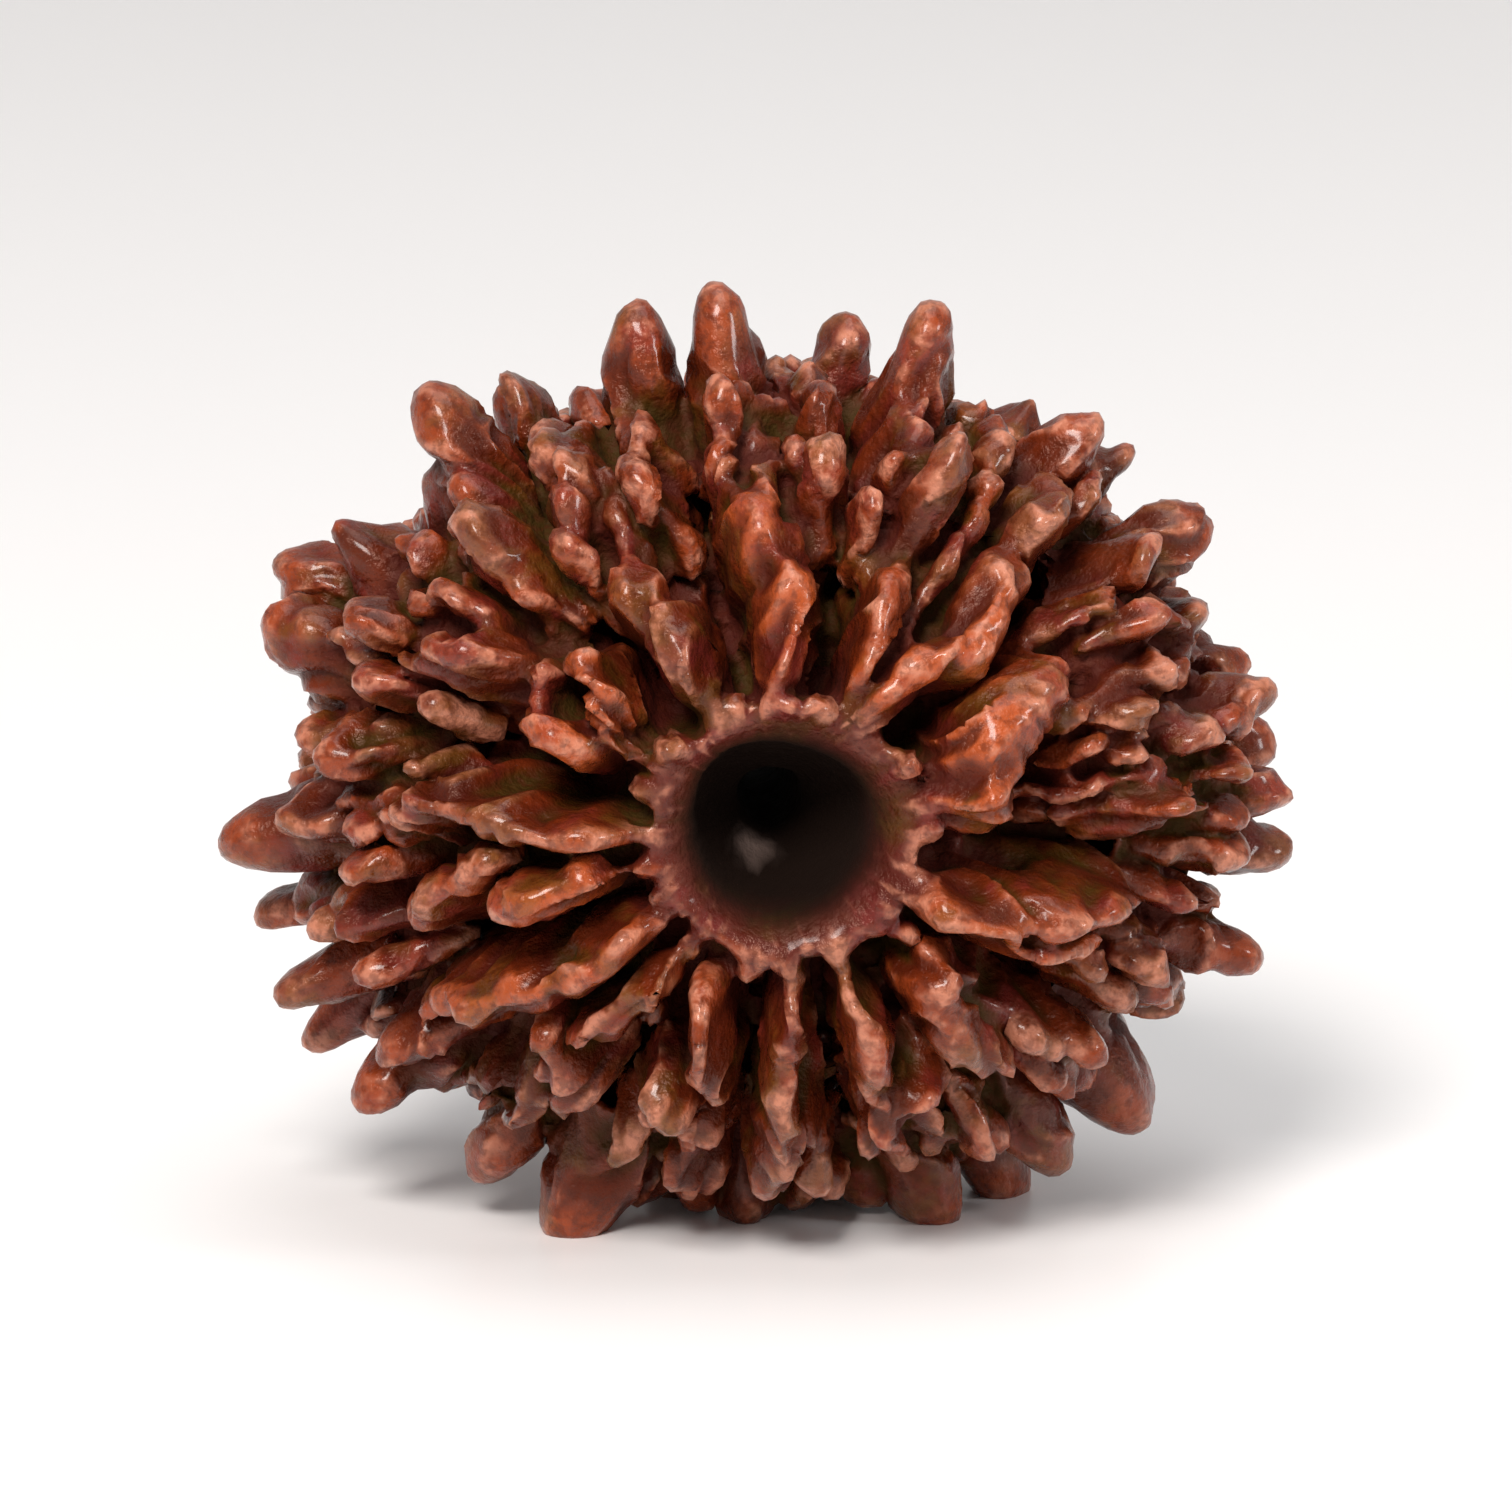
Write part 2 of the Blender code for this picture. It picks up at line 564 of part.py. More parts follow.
def evaluated_mesh(obj):
    graph = bpy.context.evaluated_depsgraph_get()
    return bpy.data.meshes.new_from_object(obj.evaluated_get(graph))


def fuse(obj):
    """Joins the overlapping parts into one skin and rounds the creases between them."""
    remesh = obj.modifiers.new("fuse", "REMESH")
    remesh.mode = "VOXEL"
    remesh.voxel_size = FUSE_VOXEL * MM
    smooth = obj.modifiers.new("round", "SMOOTH")
    smooth.factor = 0.5
    smooth.iterations = FUSE_SMOOTHING
    mesh = evaluated_mesh(obj)
    obj.modifiers.clear()
    obj.data = mesh


def thin_out(obj):
    """Keeps the form with far fewer triangles."""
    triangles = sum(len(face.vertices) - 2 for face in obj.data.polygons)
    decimate = obj.modifiers.new("thin_out", "DECIMATE")
    decimate.ratio = MOST_TRIANGLES / triangles
    decimate.use_collapse_triangulate = True
    mesh = evaluated_mesh(obj)
    obj.modifiers.clear()
    obj.data = mesh


def wear_feet(obj):
    """Cuts the lowest teeth flat where the bead stands on them."""
    size = 40 * MM
    depth = 5 * MM
    mesh = bpy.data.meshes.new("ground_cutter")
    corners = [(x * size, y * size, z) for z in (-depth, 0) for x, y in ((-1, -1), (1, -1), (1, 1), (-1, 1))]
    sides = [(0, 3, 2, 1), (4, 5, 6, 7), (0, 1, 5, 4), (1, 2, 6, 5), (2, 3, 7, 6), (3, 0, 4, 7)]
    mesh.from_pydata(corners, [], sides)
    cutter = bpy.data.objects.new("ground_cutter", mesh)
    bpy.context.scene.collection.objects.link(cutter)
    cutter.hide_render = True
    cutter.display_type = "WIRE"
    cut = obj.modifiers.new("feet", "BOOLEAN")
    cut.operation = "DIFFERENCE"
    cut.object = cutter


def bead_material():
    material = bpy.data.materials.new("polished_seed_stone")
    material.use_nodes = True
    shader = material.node_tree.nodes["Principled BSDF"]
    shader.inputs["Base Color"].default_value = (0.19, 0.055, 0.025, 1)
    shader.inputs["Roughness"].default_value = 0.32
    shader.inputs["Metallic"].default_value = 0
    return material


def main():
    for obj in list(bpy.data.objects):
        bpy.data.objects.remove(obj)
    bead = bpy.data.objects.new("rudraksha_bead", joined_mesh("rudraksha_bead", all_parts()))
    bpy.context.scene.collection.objects.link(bead)
    fuse(bead)
    thin_out(bead)
    bead.data.materials.clear()
    bead.data.materials.append(bead_material())
    bead.data.shade_smooth()
    wear_feet(bead)


main()
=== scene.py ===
"""Rudraksha bead in plain studio light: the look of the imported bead, in its frame.

A clock angle is in degrees, clockwise from the top as seen from the front, which faces -Y.
A latitude is in degrees, from -90 at the front mouth through 0 at the rim to 90 at the back mouth.
Lengths are in millimetres until the mesh is made.
"""

import math
import random

import bpy
import numpy as np
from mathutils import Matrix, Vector, noise


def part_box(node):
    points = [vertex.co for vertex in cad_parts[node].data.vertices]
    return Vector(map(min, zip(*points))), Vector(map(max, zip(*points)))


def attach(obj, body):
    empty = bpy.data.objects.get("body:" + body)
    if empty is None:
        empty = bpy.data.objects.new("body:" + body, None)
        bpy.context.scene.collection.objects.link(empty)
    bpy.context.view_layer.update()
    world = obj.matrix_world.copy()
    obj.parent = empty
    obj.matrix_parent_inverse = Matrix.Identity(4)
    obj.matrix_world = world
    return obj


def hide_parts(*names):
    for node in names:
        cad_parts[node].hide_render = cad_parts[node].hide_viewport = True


MM = 0.001

# The body, without its ridges and teeth
HALF_WIDTH = 12.5
HEIGHT_ABOVE = 10.8
HEIGHT_BELOW = 11.5
HALF_THICKNESS = 10.2
MEAN_RADIUS = 12
MIDDLE_HEIGHT = 12.9
CHANNEL_SKEW = 0.078

# The thread channel, the well at both its ends and the collar round each mouth
CHANNEL_RADIUS = 0.9
WELL_RADIUS = 2.3
WELL_START = 0.5
WELL_FULL = 0.8
COLLAR_RADIUS = 3.9
COLLAR_FLARE = 16

# The furrows: the clock angle of each in the middle of the front face, at the rim and on the back,
# and the latitudes between which they turn from one to the next
FURROWS = (
    (14, 13, 16),
    (52, 53, 44),
    (97, 101, 72),
    (122, 126, 99),
    (145, 142, 124),
    (168, 167, 151),
    (187, 184, 178),
    (209, 204, 203),
    (227, 229, 226),
    (245, 242, 251),
    (262, 259, 276),
    (282, 284, 301),
    (316, 321, 325),
    (344, 348, 351),
)
FURROW_BENDS = (-55, -10, 10, 55)
FURROW_DEPTH = 3.0
FURROW_HALF_WIDTH = 1.6
FURROW_START = 3.2
FURROW_FULL = 5.2

# Lesser furrows that split each lobe into blades: the angle between them at the rim, their depth,
# half width and sway in degrees, and where they begin and reach full depth
SPLIT_SPACING = 8.5
SPLIT_DEPTH = 1.0
SPLIT_HALF_WIDTH = 0.5
SPLIT_SWAY = 1.8
SPLIT_START = 4.4
SPLIT_FULL = 6.4

# Pockets of the front face: clock angle, distance from the axis, half width, depth
POCKETS = (
    (78, 7.5, 1.3, 1.8),
    (91, 7.3, 1.0, 1.4),
    (230, 9.0, 0.9, 1.6),
    (303, 6.7, 0.8, 1.3),
    (243, 6.9, 0.9, 1.2),
    (60, 9.4, 0.9, 1.2),
    (150, 7.2, 0.8, 1.0),
)

# How far the ground between the teeth reaches as seen from the front and a little above: clock angle, reach
VIEW_ELEVATION = 13
GROUND_ROOM = 1.2
OUTLINE_VALLEYS = (
    (5, 11.0), (17, 10.9), (30, 11.4), (56, 12.4), (70, 12.8), (80, 13.7), (90, 13.9), (98, 14.1),
    (107, 13.5), (126, 13.2), (139, 13.4), (160, 12.2), (180, 12.4), (195, 12.3), (207, 12.5),
    (221, 12.3), (234, 14.0), (247, 14.0),
    (254, 13.6), (274, 12.5), (304, 11.7), (321, 10.9), (332, 11.2), (350, 11.1),
)

# Raised ridges of the front face: half width, height, then the clock angle and distance of each stop
FACE_RIDGES = (
    (1.19, 1.64, (0, 4.1), (1, 6.6), (356, 7.9), (353, 9.0)),
    (0.84, 1.39, (28, 4.3), (25, 6.0), (23, 7.4)),
    (1.06, 1.64, (31, 4.3), (39, 5.9), (47, 6.7), (45, 8.1), (42, 8.9)),
    (1.55, 1.95, (63, 8.2), (63, 6.7), (67, 5.6), (76, 5.2), (88, 5.4)),
    (1.06, 1.77, (104, 10.2), (106, 8.3), (111, 6.5), (117, 4.2)),
    (0.84, 1.14, (109, 10.3), (113, 8.7), (117, 7.2), (120, 4.7)),
    (1.40, 1.52, (139, 9.2), (140, 7.5), (138, 6.0), (129, 5.8)),
    (0.97, 1.64, (162, 11.6), (161, 8.4), (158, 6.3), (157, 4.6)),
    (0.84, 1.39, (149, 8.7), (155, 8.2), (161, 8.3)),
    (0.84, 1.52, (170, 11.9), (171, 11.0), (173, 9.1)),
    (0.97, 1.64, (179, 11.9), (180, 9.7), (179, 7.8), (178, 4.6)),
    (0.97, 1.52, (191, 8.0), (195, 7.3), (199, 6.1), (202, 5.3), (209, 4.7)),
    (1.12, 1.64, (197, 8.3), (205, 8.1)),
    (0.84, 1.26, (198, 11.4), (201, 9.0)),
    (0.84, 1.39, (211, 10.4), (219, 8.8), (226, 8.3), (232, 9.6)),
    (0.97, 1.39, (224, 8.3), (221, 7.0), (219, 4.7)),
    (1.12, 1.90, (235, 4.6), (236, 7.5), (238, 9.2), (239, 10.4)),
    (1.34, 1.64, (251, 7.9), (255, 6.9), (259, 4.8)),
    (0.91, 1.52, (250, 10.0), (256, 9.2), (261, 8.1), (264, 7.2)),
    (0.91, 1.52, (268, 10.1), (274, 8.6), (273, 7.2), (270, 6.3), (269, 4.2)),
    (0.84, 1.39, (278, 12.0), (281, 10.4)),
    (0.91, 1.64, (302, 5.2), (293, 5.8), (296, 6.8), (306, 7.5)),
    (0.91, 1.64, (302, 5.2), (308, 6.0), (312, 7.3)),
    (0.91, 1.52, (290, 10.5), (296, 9.5), (303, 8.2)),
    (1.12, 1.64, (327, 8.1), (329, 7.2), (332, 6.3), (330, 4.4)),
)

# Share of a ridge's height that is left at its ends, and how hollow its flanks are
RIDGE_END = 0.4
RIDGE_FLANK = 0.9

# Low knobs on the crest of the front collar: clock angle and distance from the axis
COLLAR_KNOBS = (
    (14, 3.9), (33, 4.2), (60, 3.9), (86, 4.1), (110, 4.2), (132, 4.7), (155, 4.7),
    (175, 4.5), (192, 4.4), (215, 4.6), (241, 4.2), (263, 4.5), (285, 4.3), (309, 4.0), (341, 4.0),
)
COLLAR_KNOB_HALF_WIDTH = 0.65
COLLAR_KNOB_HEIGHT = 0.55

# Knobs of the front shoulder: clock angle, distance from the axis, width, height
SHOULDER_KNOBS = (
    (9, 9.1, 1.6, 1.5), (25, 9.3, 2.3, 2.1), (62, 10.4, 1.7, 1.8), (89, 10.0, 1.5, 1.6),
    (131, 10.4, 1.5, 1.5), (149, 10.6, 1.9, 1.6), (218, 10.6, 1.7, 1.5), (232, 11.6, 1.7, 1.7),
    (262, 10.5, 1.5, 1.5), (295, 11.0, 1.7, 1.6), (315, 10.0, 2.3, 2.2), (330, 9.8, 1.6, 1.5),
    (354, 10.2, 1.6, 1.7), (43, 10.4, 1.9, 1.7), (73, 9.9, 1.6, 1.4), (113, 10.9, 1.5, 1.5),
    (86, 11.6, 1.7, 1.7), (99, 11.9, 1.7, 1.7), (340, 9.2, 1.4, 1.2), (304, 9.9, 1.6, 1.3),
    (245, 11.2, 1.4, 1.4), (274, 11.3, 1.5, 1.4), (188, 11.0, 1.4, 1.2), (172, 10.6, 1.2, 1.0),
)

# Teeth of the outline: clock angle and reach of the tip as seen, clock angle of the root, width,
# place along the axis
RIM_TEETH = (
    (355.0, 13.1, 356.5, 2.4, -1.4),
    (11.5, 12.6, 12.5, 1.7, 1.2),
    (21.5, 13.5, 25.0, 2.4, -1.6),
    (38.0, 12.7, 39.0, 2.6, 1.0),
    (45.0, 13.3, 44.0, 2.2, -1.8),
    (50.5, 13.75, 50.0, 2.3, 0.7),
    (61.5, 14.2, 62.5, 2.7, -0.8),
    (78.5, 13.9, 77.0, 2.4, 1.4),
    (83.0, 14.5, 83.0, 2.2, -1.9),
    (89.0, 14.6, 88.0, 2.2, 1.9),
    (94.0, 14.9, 93.0, 2.0, -1.2),
    (100.5, 15.25, 99.0, 2.5, 0.9),
    (112.5, 15.25, 112.0, 2.1, -1.2),
    (121.0, 13.7, 121.0, 2.2, 0.5),
    (133.5, 15.1, 131.5, 3.5, 0.6),
    (143.5, 14.5, 142.5, 2.6, -1.2),
    (164.5, 12.9, 165.0, 2.4, -0.8),
    (174.5, 12.6, 175.0, 2.4, -1.0),
    (187.5, 12.6, 187.5, 2.4, -1.3),
    (195.5, 12.9, 195.5, 2.5, -0.9),
    (213.5, 14.2, 215.0, 2.4, -1.6),
    (228.5, 14.9, 229.8, 2.4, -1.6),
    (237.5, 15.1, 236.0, 2.0, 1.6),
    (243.5, 15.1, 242.5, 2.0, -1.3),
    (252.0, 14.8, 251.0, 1.9, 1.4),
    (260.5, 15.2, 262.0, 2.4, -0.8),
    (286.0, 14.1, 285.0, 2.8, -1.5),
    (292.5, 14.5, 291.5, 2.6, 1.2),
    (299.0, 13.5, 298.0, 2.4, -1.0),
    (318.5, 13.75, 313.0, 2.8, -1.4),
    (326.5, 12.7, 325.5, 2.0, 1.0),
    (345.5, 13.0, 342.5, 2.3, -1.0),
)

# Teeth that the bead stands on, worn flat: clock angle, width, place along the axis
FOOT_TEETH = (
    (202.3, 3.1, -2.8),
    (190.5, 2.6, 1.8),
    (181.0, 2.6, -1.1),
    (170.0, 2.7, 3.6),
    (158.5, 2.8, -1.3),
    (151.5, 2.9, 1.6),
)
FOOT_OVERRUN = 0.6

# Rows of tubercles by rule: the latitude of each row, its usual width and height
TUBERCLE_ROWS = (
    (-39, 1.2, 0.7),
    (-28, 1.5, 1.0),
    (-17, 1.7, 1.3),
    (-6, 1.8, 1.4),
    (6, 1.8, 1.5),
    (18, 1.9, 1.6),
    (30, 2.0, 1.7),
    (42, 1.9, 1.6),
    (54, 1.6, 1.2),
    (64, 1.3, 0.8),
)
TUBERCLE_SPACING = 2.4

# Keels join the tubercles of a column, and links join one column to the next
KEEL_HALF_WIDTH = 1.25
KEEL_HEIGHT = 1.25
KEEL_START = -40
KEEL_END = 66
LINK_HALF_WIDTH = 0.9
LINK_HEIGHT = 0.9
LINK_SHARE = 0.35
SEED = 14

# Wrinkles strewn over the lobes: how many, the range of their half width, height and length,
# and how far the ground between them is lowered
WRINKLES = 320
WRINKLE_HALF_WIDTH = (0.45, 0.8)
WRINKLE_HEIGHT = (0.4, 0.85)
WRINKLE_LENGTH = (1.4, 3.2)
WRINKLE_BED = 0.35

# Lumps all over: how many waves, their longest length and their height
LUMP_WAVES = 14
LUMP_LENGTH = 2.8
LUMP_HEIGHT = 0.16

# The mesh: grid of the body, shape of a tooth, then the fused surface
AROUND = 600
ALONG_OUTSIDE = 260
ALONG_CHANNEL = 90
TOOTH_SIDES = 20
TOOTH_RINGS = 14
TOOTH_ROOT = 1.6
TOOTH_ROUNDING = 0.42
TOOTH_TAPER = 0.42
TOOTH_FLATNESS = (0.9, 1.2)
KNOB_TAPER = 0.6
KNOB_FLATNESS = (0.72, 1.6)
FUSE_VOXEL = 0.17
FUSE_SMOOTHING = 1

# The most triangles that the finished skin keeps
MOST_TRIANGLES = 194000

# Crests are drawn out and gaps deepened by this many times their own height, within two limits
SHARPENING = 1.8
MOST_DEEPENED = 0.55
MOST_RAISED = 0.04

# Wrinkles that run along the lobes: width, length and depth, and their sway in radians and its length
STREAK_WIDTH = 1.1
STREAK_LENGTH = 2.8
STREAK_DEPTH = 0.26
STREAK_SWAY = 0.12
STREAK_SWAY_LENGTH = 2.2

# Finer wrinkles between them: width, length and depth
THREAD_WIDTH = 0.5
THREAD_LENGTH = 1.4
THREAD_DEPTH = 0.11

# Distances from the axis over which each kind of wrinkle grows to its full depth, because wrinkles draw
# together towards the mouths, and the share of the broad ones that is left there
STREAK_GROWTH = (1.5, 6.0)
STREAK_LEFT = 0.3
THREAD_GROWTH = (4.0, 8.0)

# Small knobs of the skin: size and depth
PIMPLE_SIZE = 0.9
PIMPLE_DEPTH = 0.025

# Heights above the body where a tooth begins and where it stands free, how much of the fine relief is
# left on teeth, and how much of a crest a whole tooth counts as, beside its own height, which gives teeth
# the crests' colour and painted highlight instead of the flanks' painted shade
TOOTH_HEIGHTS = (1.0, 2.4)
TOOTH_RELIEF = 0.3
TOOTH_CREST = 0.25

# Distances from the axis over which the well passes into the face, the painted shade of the channel into
# the collar, and the collar into the face, and how much of the wrinkles is left in the well
WELL_TO_FACE = (2.4, 4.2)
CHANNEL_SHADE_TO_COLLAR = (2.2, 3.2)
COLLAR_TO_FACE = (3.6, 4.8)
WELL_RELIEF = 0.35

# Rounds of smoothing that a spot's height is measured against, and the height that counts as full
FINE_ROUNDS, FINE_FULL = 8, 0.09
MIDDLE_ROUNDS, MIDDLE_FULL = 36, 0.3
BROAD_ROUNDS, BROAD_FULL = 140, 0.6

# Ridges that handling has worn to a bright orange, by their place in FACE_RIDGES, how far past their
# half width that reaches, where it lies in their height, and how strong it is
AMBER_RIDGES = (0, 2, 3, 5, 16, 17, 21, 22)
AMBER_MARGIN = 0.5
AMBER_LEVEL = 0.7
AMBER_STRENGTH = 1.4

# Small painted highlight on the lower wall of the front well: its place from the bead's middle, and the
# distances over which it fades
WELL_HIGHLIGHT_SPOT = (0.05, -6.0, -0.9)
WELL_HIGHLIGHT_EDGE = (0.2, 0.8)

# Colours of the stone, with the painted shade and painted highlights laid on it
MAHOGANY = (0.062, 0.0082, 0.0022, 1)
RED_BROWN = (0.135, 0.0185, 0.004, 1)
# Browns of the crests, lighter partly as a painted highlight
CREST_BROWN = (0.26, 0.041, 0.009, 1)
TAN_BROWN = (0.20, 0.062, 0.022, 1)
ORANGE = (0.36, 0.064, 0.014, 1)
# Pinkish tan of the painted highlights on the crest edges and the collar's knobs
HIGHLIGHT_TAN = (0.50, 0.19, 0.115, 1)
DUST = (0.12, 0.030, 0.013, 1)
# Pale grey of the painted highlight in the well
WELL_HIGHLIGHT = (0.20, 0.14, 0.12, 1)
COLLAR_PURPLE = (0.085, 0.0125, 0.0095, 1)
CRIMSON = (0.16, 0.016, 0.018, 1)
OLIVE_BROWN = (0.11, 0.055, 0.007, 1)
# Dark browns of the painted shade in the furrows and on the flanks, with the furrows' own grime
FURROW_SHADE_BROWN = (0.052, 0.0056, 0.0030, 1)
FURROW_SHADE_OLIVE = (0.038, 0.019, 0.0016, 1)
# Painted shade inside the channel
CHANNEL_SHADE_BLACK = (0.002, 0.001, 0.0006, 1)

# The stone's own shine and its tint, and the weight and roughness of the polish over its crests
SHINE = 0.28
SHINE_TINT = (1.0, 0.62, 0.5, 1)
POLISH_WEIGHT = 0.38
POLISH_ROUGHNESS = 0.14
NOISE_ROUGHNESS = 0.55

# Floor, in metres: half its width, its near edge, where it bends up, the bend's radius, its height behind
FLOOR_HALF_WIDTH = 1.2
FLOOR_NEAR = -1.0
FLOOR_BEND = 0.5
FLOOR_BEND_RADIUS = 0.3
FLOOR_BEND_STEPS = 16
FLOOR_BACK = 1.2
FLOOR_COLOUR = (0.88, 0.87, 0.87, 1)
FLOOR_ROUGHNESS = 0.35

# Square lights: name, place and side in metres, power in watts, colour
LIGHTS = (
    ("key", (-0.10, -0.32, 0.35), 0.16, 2.55, (1, 0.95, 0.91)),
    ("top", (0.05, 0.02, 0.45), 0.30, 0.7, (1, 1, 1)),
    ("side", (0.40, -0.15, 0.20), 0.08, 0.5, (1, 1, 1)),
)
SURROUNDING_LIGHT = 0.35

# Camera: how far away, and its lens
CAMERA_DISTANCE = 300
CAMERA_LENS = 257


def smoothstep(low, high, value):
    t = np.clip((value - low) / (high - low), 0, 1)
    return t * t * (3 - 2 * t)


def rim_radius(clock):
    """Radius of the body's oval rim."""
    height = np.where(np.cos(clock) > 0, HEIGHT_ABOVE, HEIGHT_BELOW)
    return 1 / np.hypot(np.sin(clock) / HALF_WIDTH, np.cos(clock) / height)


def body_point(clock, latitude):
    """Point of the bare body, from the bead's middle. Angles in radians."""
    radius = rim_radius(clock) * np.cos(latitude)
    depth = HALF_THICKNESS * np.sin(latitude)
    across = radius * np.sin(clock) - CHANNEL_SKEW * depth
    return np.stack([across, depth + 0 * clock, radius * np.cos(clock)], axis=-1)


def body_normal(clock, latitude):
    radius = rim_radius(clock)
    out = np.cos(latitude) / radius
    along = np.sin(latitude) / HALF_THICKNESS
    length = np.hypot(out, along)
    return np.stack([out * np.sin(clock), along + 0 * clock, out * np.cos(clock)], -1) / length[..., None]


def within_outline(points, room=0):
    """The points, with any that would fill the gaps between the seen teeth drawn in to the axis."""
    lift = math.radians(VIEW_ELEVATION)
    up = points[..., 2] * math.cos(lift) + points[..., 1] * math.sin(lift)
    clock = np.degrees(np.arctan2(points[..., 0], up)) % 360
    angles, reaches = zip(*OUTLINE_VALLEYS)
    allowed = np.interp(clock, angles, reaches, period=360) - room
    share = np.minimum(1, allowed / np.maximum(np.hypot(points[..., 0], up), 1))[..., None]
    return points * np.concatenate([share, np.ones_like(share), share], axis=-1)


def ground_point(clock, latitude):
    """Point of the ground that ridges and teeth stand on, lower where they would hide the outline."""
    return within_outline(body_point(clock, latitude), GROUND_ROOM)


def latitude_at(clock, distance):
    """Latitude of the front face at this distance from the channel's axis."""
    return -np.arccos(np.clip(distance / rim_radius(clock), 0, 1))


def furrow_relief(clock, latitude):
    """Depth of the furrows, which follow the lobes from collar to collar."""
    distance = rim_radius(clock) * np.cos(latitude)
    present = smoothstep(FURROW_START, FURROW_FULL, distance)
    relief = np.zeros_like(clock)
    for index, (front, rim, back) in enumerate(FURROWS):
        bend = np.interp(np.degrees(latitude), FURROW_BENDS, (front, rim, rim, back))
        sway = 1.3 * np.sin(5 * latitude + 2.1 * index)
        away = np.abs((np.degrees(clock) - bend - sway + 180) % 360 - 180)
        gap = np.radians(away) * distance / (FURROW_HALF_WIDTH * (1 + 0.25 * math.sin(3.7 * index)))
        relief = np.minimum(relief, -FURROW_DEPTH * np.clip(1 - gap, 0, 1))
    return relief * present


def split_relief(clock, latitude, draw):
    """Depth of the lesser furrows, which run between the furrows on both sides of each lobe."""
    distance = rim_radius(clock) * np.cos(latitude)
    relief = np.zeros_like(clock)
    for first, second in zip(FURROWS, FURROWS[1:] + FURROWS[:1]):
        lobe = (second[1] - first[1]) % 360
        blades = max(2, round(lobe / SPLIT_SPACING))
        for index in range(1, blades):
            share = (index + draw.uniform(-0.15, 0.15)) / blades
            front, rim, back = (low + ((high - low) % 360) * share for low, high in zip(first, second))
            bend = np.interp(np.degrees(latitude), FURROW_BENDS, (front, rim, rim, back))
            sway = SPLIT_SWAY * np.sin(draw.uniform(3, 6) * latitude + draw.uniform(0, 2 * math.pi))
            away = np.abs((np.degrees(clock) - bend - sway + 180) % 360 - 180)
            gap = np.radians(away) * distance / (SPLIT_HALF_WIDTH * draw.uniform(0.75, 1.25))
            relief = np.minimum(relief, -SPLIT_DEPTH * draw.uniform(0.6, 1.1) * np.clip(1 - gap, 0, 1))
    return relief * smoothstep(SPLIT_START, SPLIT_FULL, distance)


def ridge_relief(points, path, half_width, height):
    """Height of a sharp-crested ridge along a path of points on the body, lower at the path's ends."""
    lengths = np.linalg.norm(np.diff(path, axis=0), axis=1)
    passed = np.concatenate([[0], np.cumsum(lengths)])
    relief = np.zeros(len(points))
    for start, end, before, length in zip(path[:-1], path[1:], passed, lengths):
        span = end - start
        share = np.clip((points - start) @ span / (span @ span), 0, 1)
        away = np.linalg.norm(points - start - share[:, None] * span, axis=1) / half_width
        place = (before + share * length) / passed[-1]
        crest = height * (RIDGE_END + (1 - RIDGE_END) * np.sqrt(np.sin(math.pi * np.clip(place, 0, 1))))
        relief = np.maximum(relief, crest * np.clip(1 - away, 0, 1) ** RIDGE_FLANK)
    return relief


def face_path(stops):
    """Points on the front face's ground from clock angles and distances from the axis."""
    clock = np.radians([stop[0] for stop in stops])
    return ground_point(clock, latitude_at(clock, np.array([stop[1] for stop in stops], float)))


def lumps(points, draw):
    """Low uneven lumps, as a sum of seeded waves through the points."""
    relief = np.zeros(len(points))
    for _ in range(LUMP_WAVES):
        direction = np.array([draw.gauss(0, 1) for _ in range(3)])
        length = LUMP_LENGTH * draw.uniform(0.45, 1)
        turns = points @ (direction / np.linalg.norm(direction)) * 2 * math.pi / length
        relief += np.sin(turns + draw.uniform(0, 2 * math.pi))
    return LUMP_HEIGHT * relief / math.sqrt(LUMP_WAVES / 2)


def furrow_clocks(latitude):
    """Clock angle of each furrow at this latitude, in degrees."""
    clocks = []
    for front, rim, back in FURROWS:
        clocks.append(float(np.interp(latitude, FURROW_BENDS, (front, rim, rim, back))))
    return clocks


def tubercle_columns(draw):
    """Columns of tubercles along each lobe: for each one, its (clock, latitude, width, height) marks."""
    columns = []
    for index in range(len(FURROWS)):
        at_rim = furrow_clocks(0)
        lobe = (at_rim[(index + 1) % len(FURROWS)] - at_rim[index]) % 360
        abreast = max(1, round(math.radians(lobe) * MEAN_RADIUS / TUBERCLE_SPACING))
        for place in range(abreast):
            marks = []
            for latitude, width, height in TUBERCLE_ROWS:
                clocks = furrow_clocks(latitude)
                here = (clocks[(index + 1) % len(FURROWS)] - clocks[index]) % 360
                share = (place + 0.5 + draw.uniform(-0.13, 0.13)) / abreast
                turned = latitude + draw.uniform(-4, 4)
                size = draw.uniform(0.7, 1.25)
                marks.append((clocks[index] + here * share, turned, width * size, height * size))
            columns.append(marks)
    return columns


def keel_paths(columns, draw):
    """Paths of the keels and of the links between them, each with its half width and height."""
    paths = []
    for index, marks in enumerate(columns):
        first, last = marks[0], marks[-1]
        stops = [(first[0], KEEL_START), *(mark[:2] for mark in marks), (last[0], KEEL_END)]
        angles = np.radians(np.array(stops))
        paths.append((ground_point(angles[:, 0], angles[:, 1]), KEEL_HALF_WIDTH, KEEL_HEIGHT))
        beside = columns[(index + 1) % len(columns)]
        for mark, across in zip(marks, beside[1:]):
            if (across[0] - mark[0]) % 360 < 18 and draw.random() < LINK_SHARE:
                angles = np.radians(np.array([mark[:2], across[:2]]))
                paths.append((ground_point(angles[:, 0], angles[:, 1]), LINK_HALF_WIDTH, LINK_HEIGHT))
    return paths


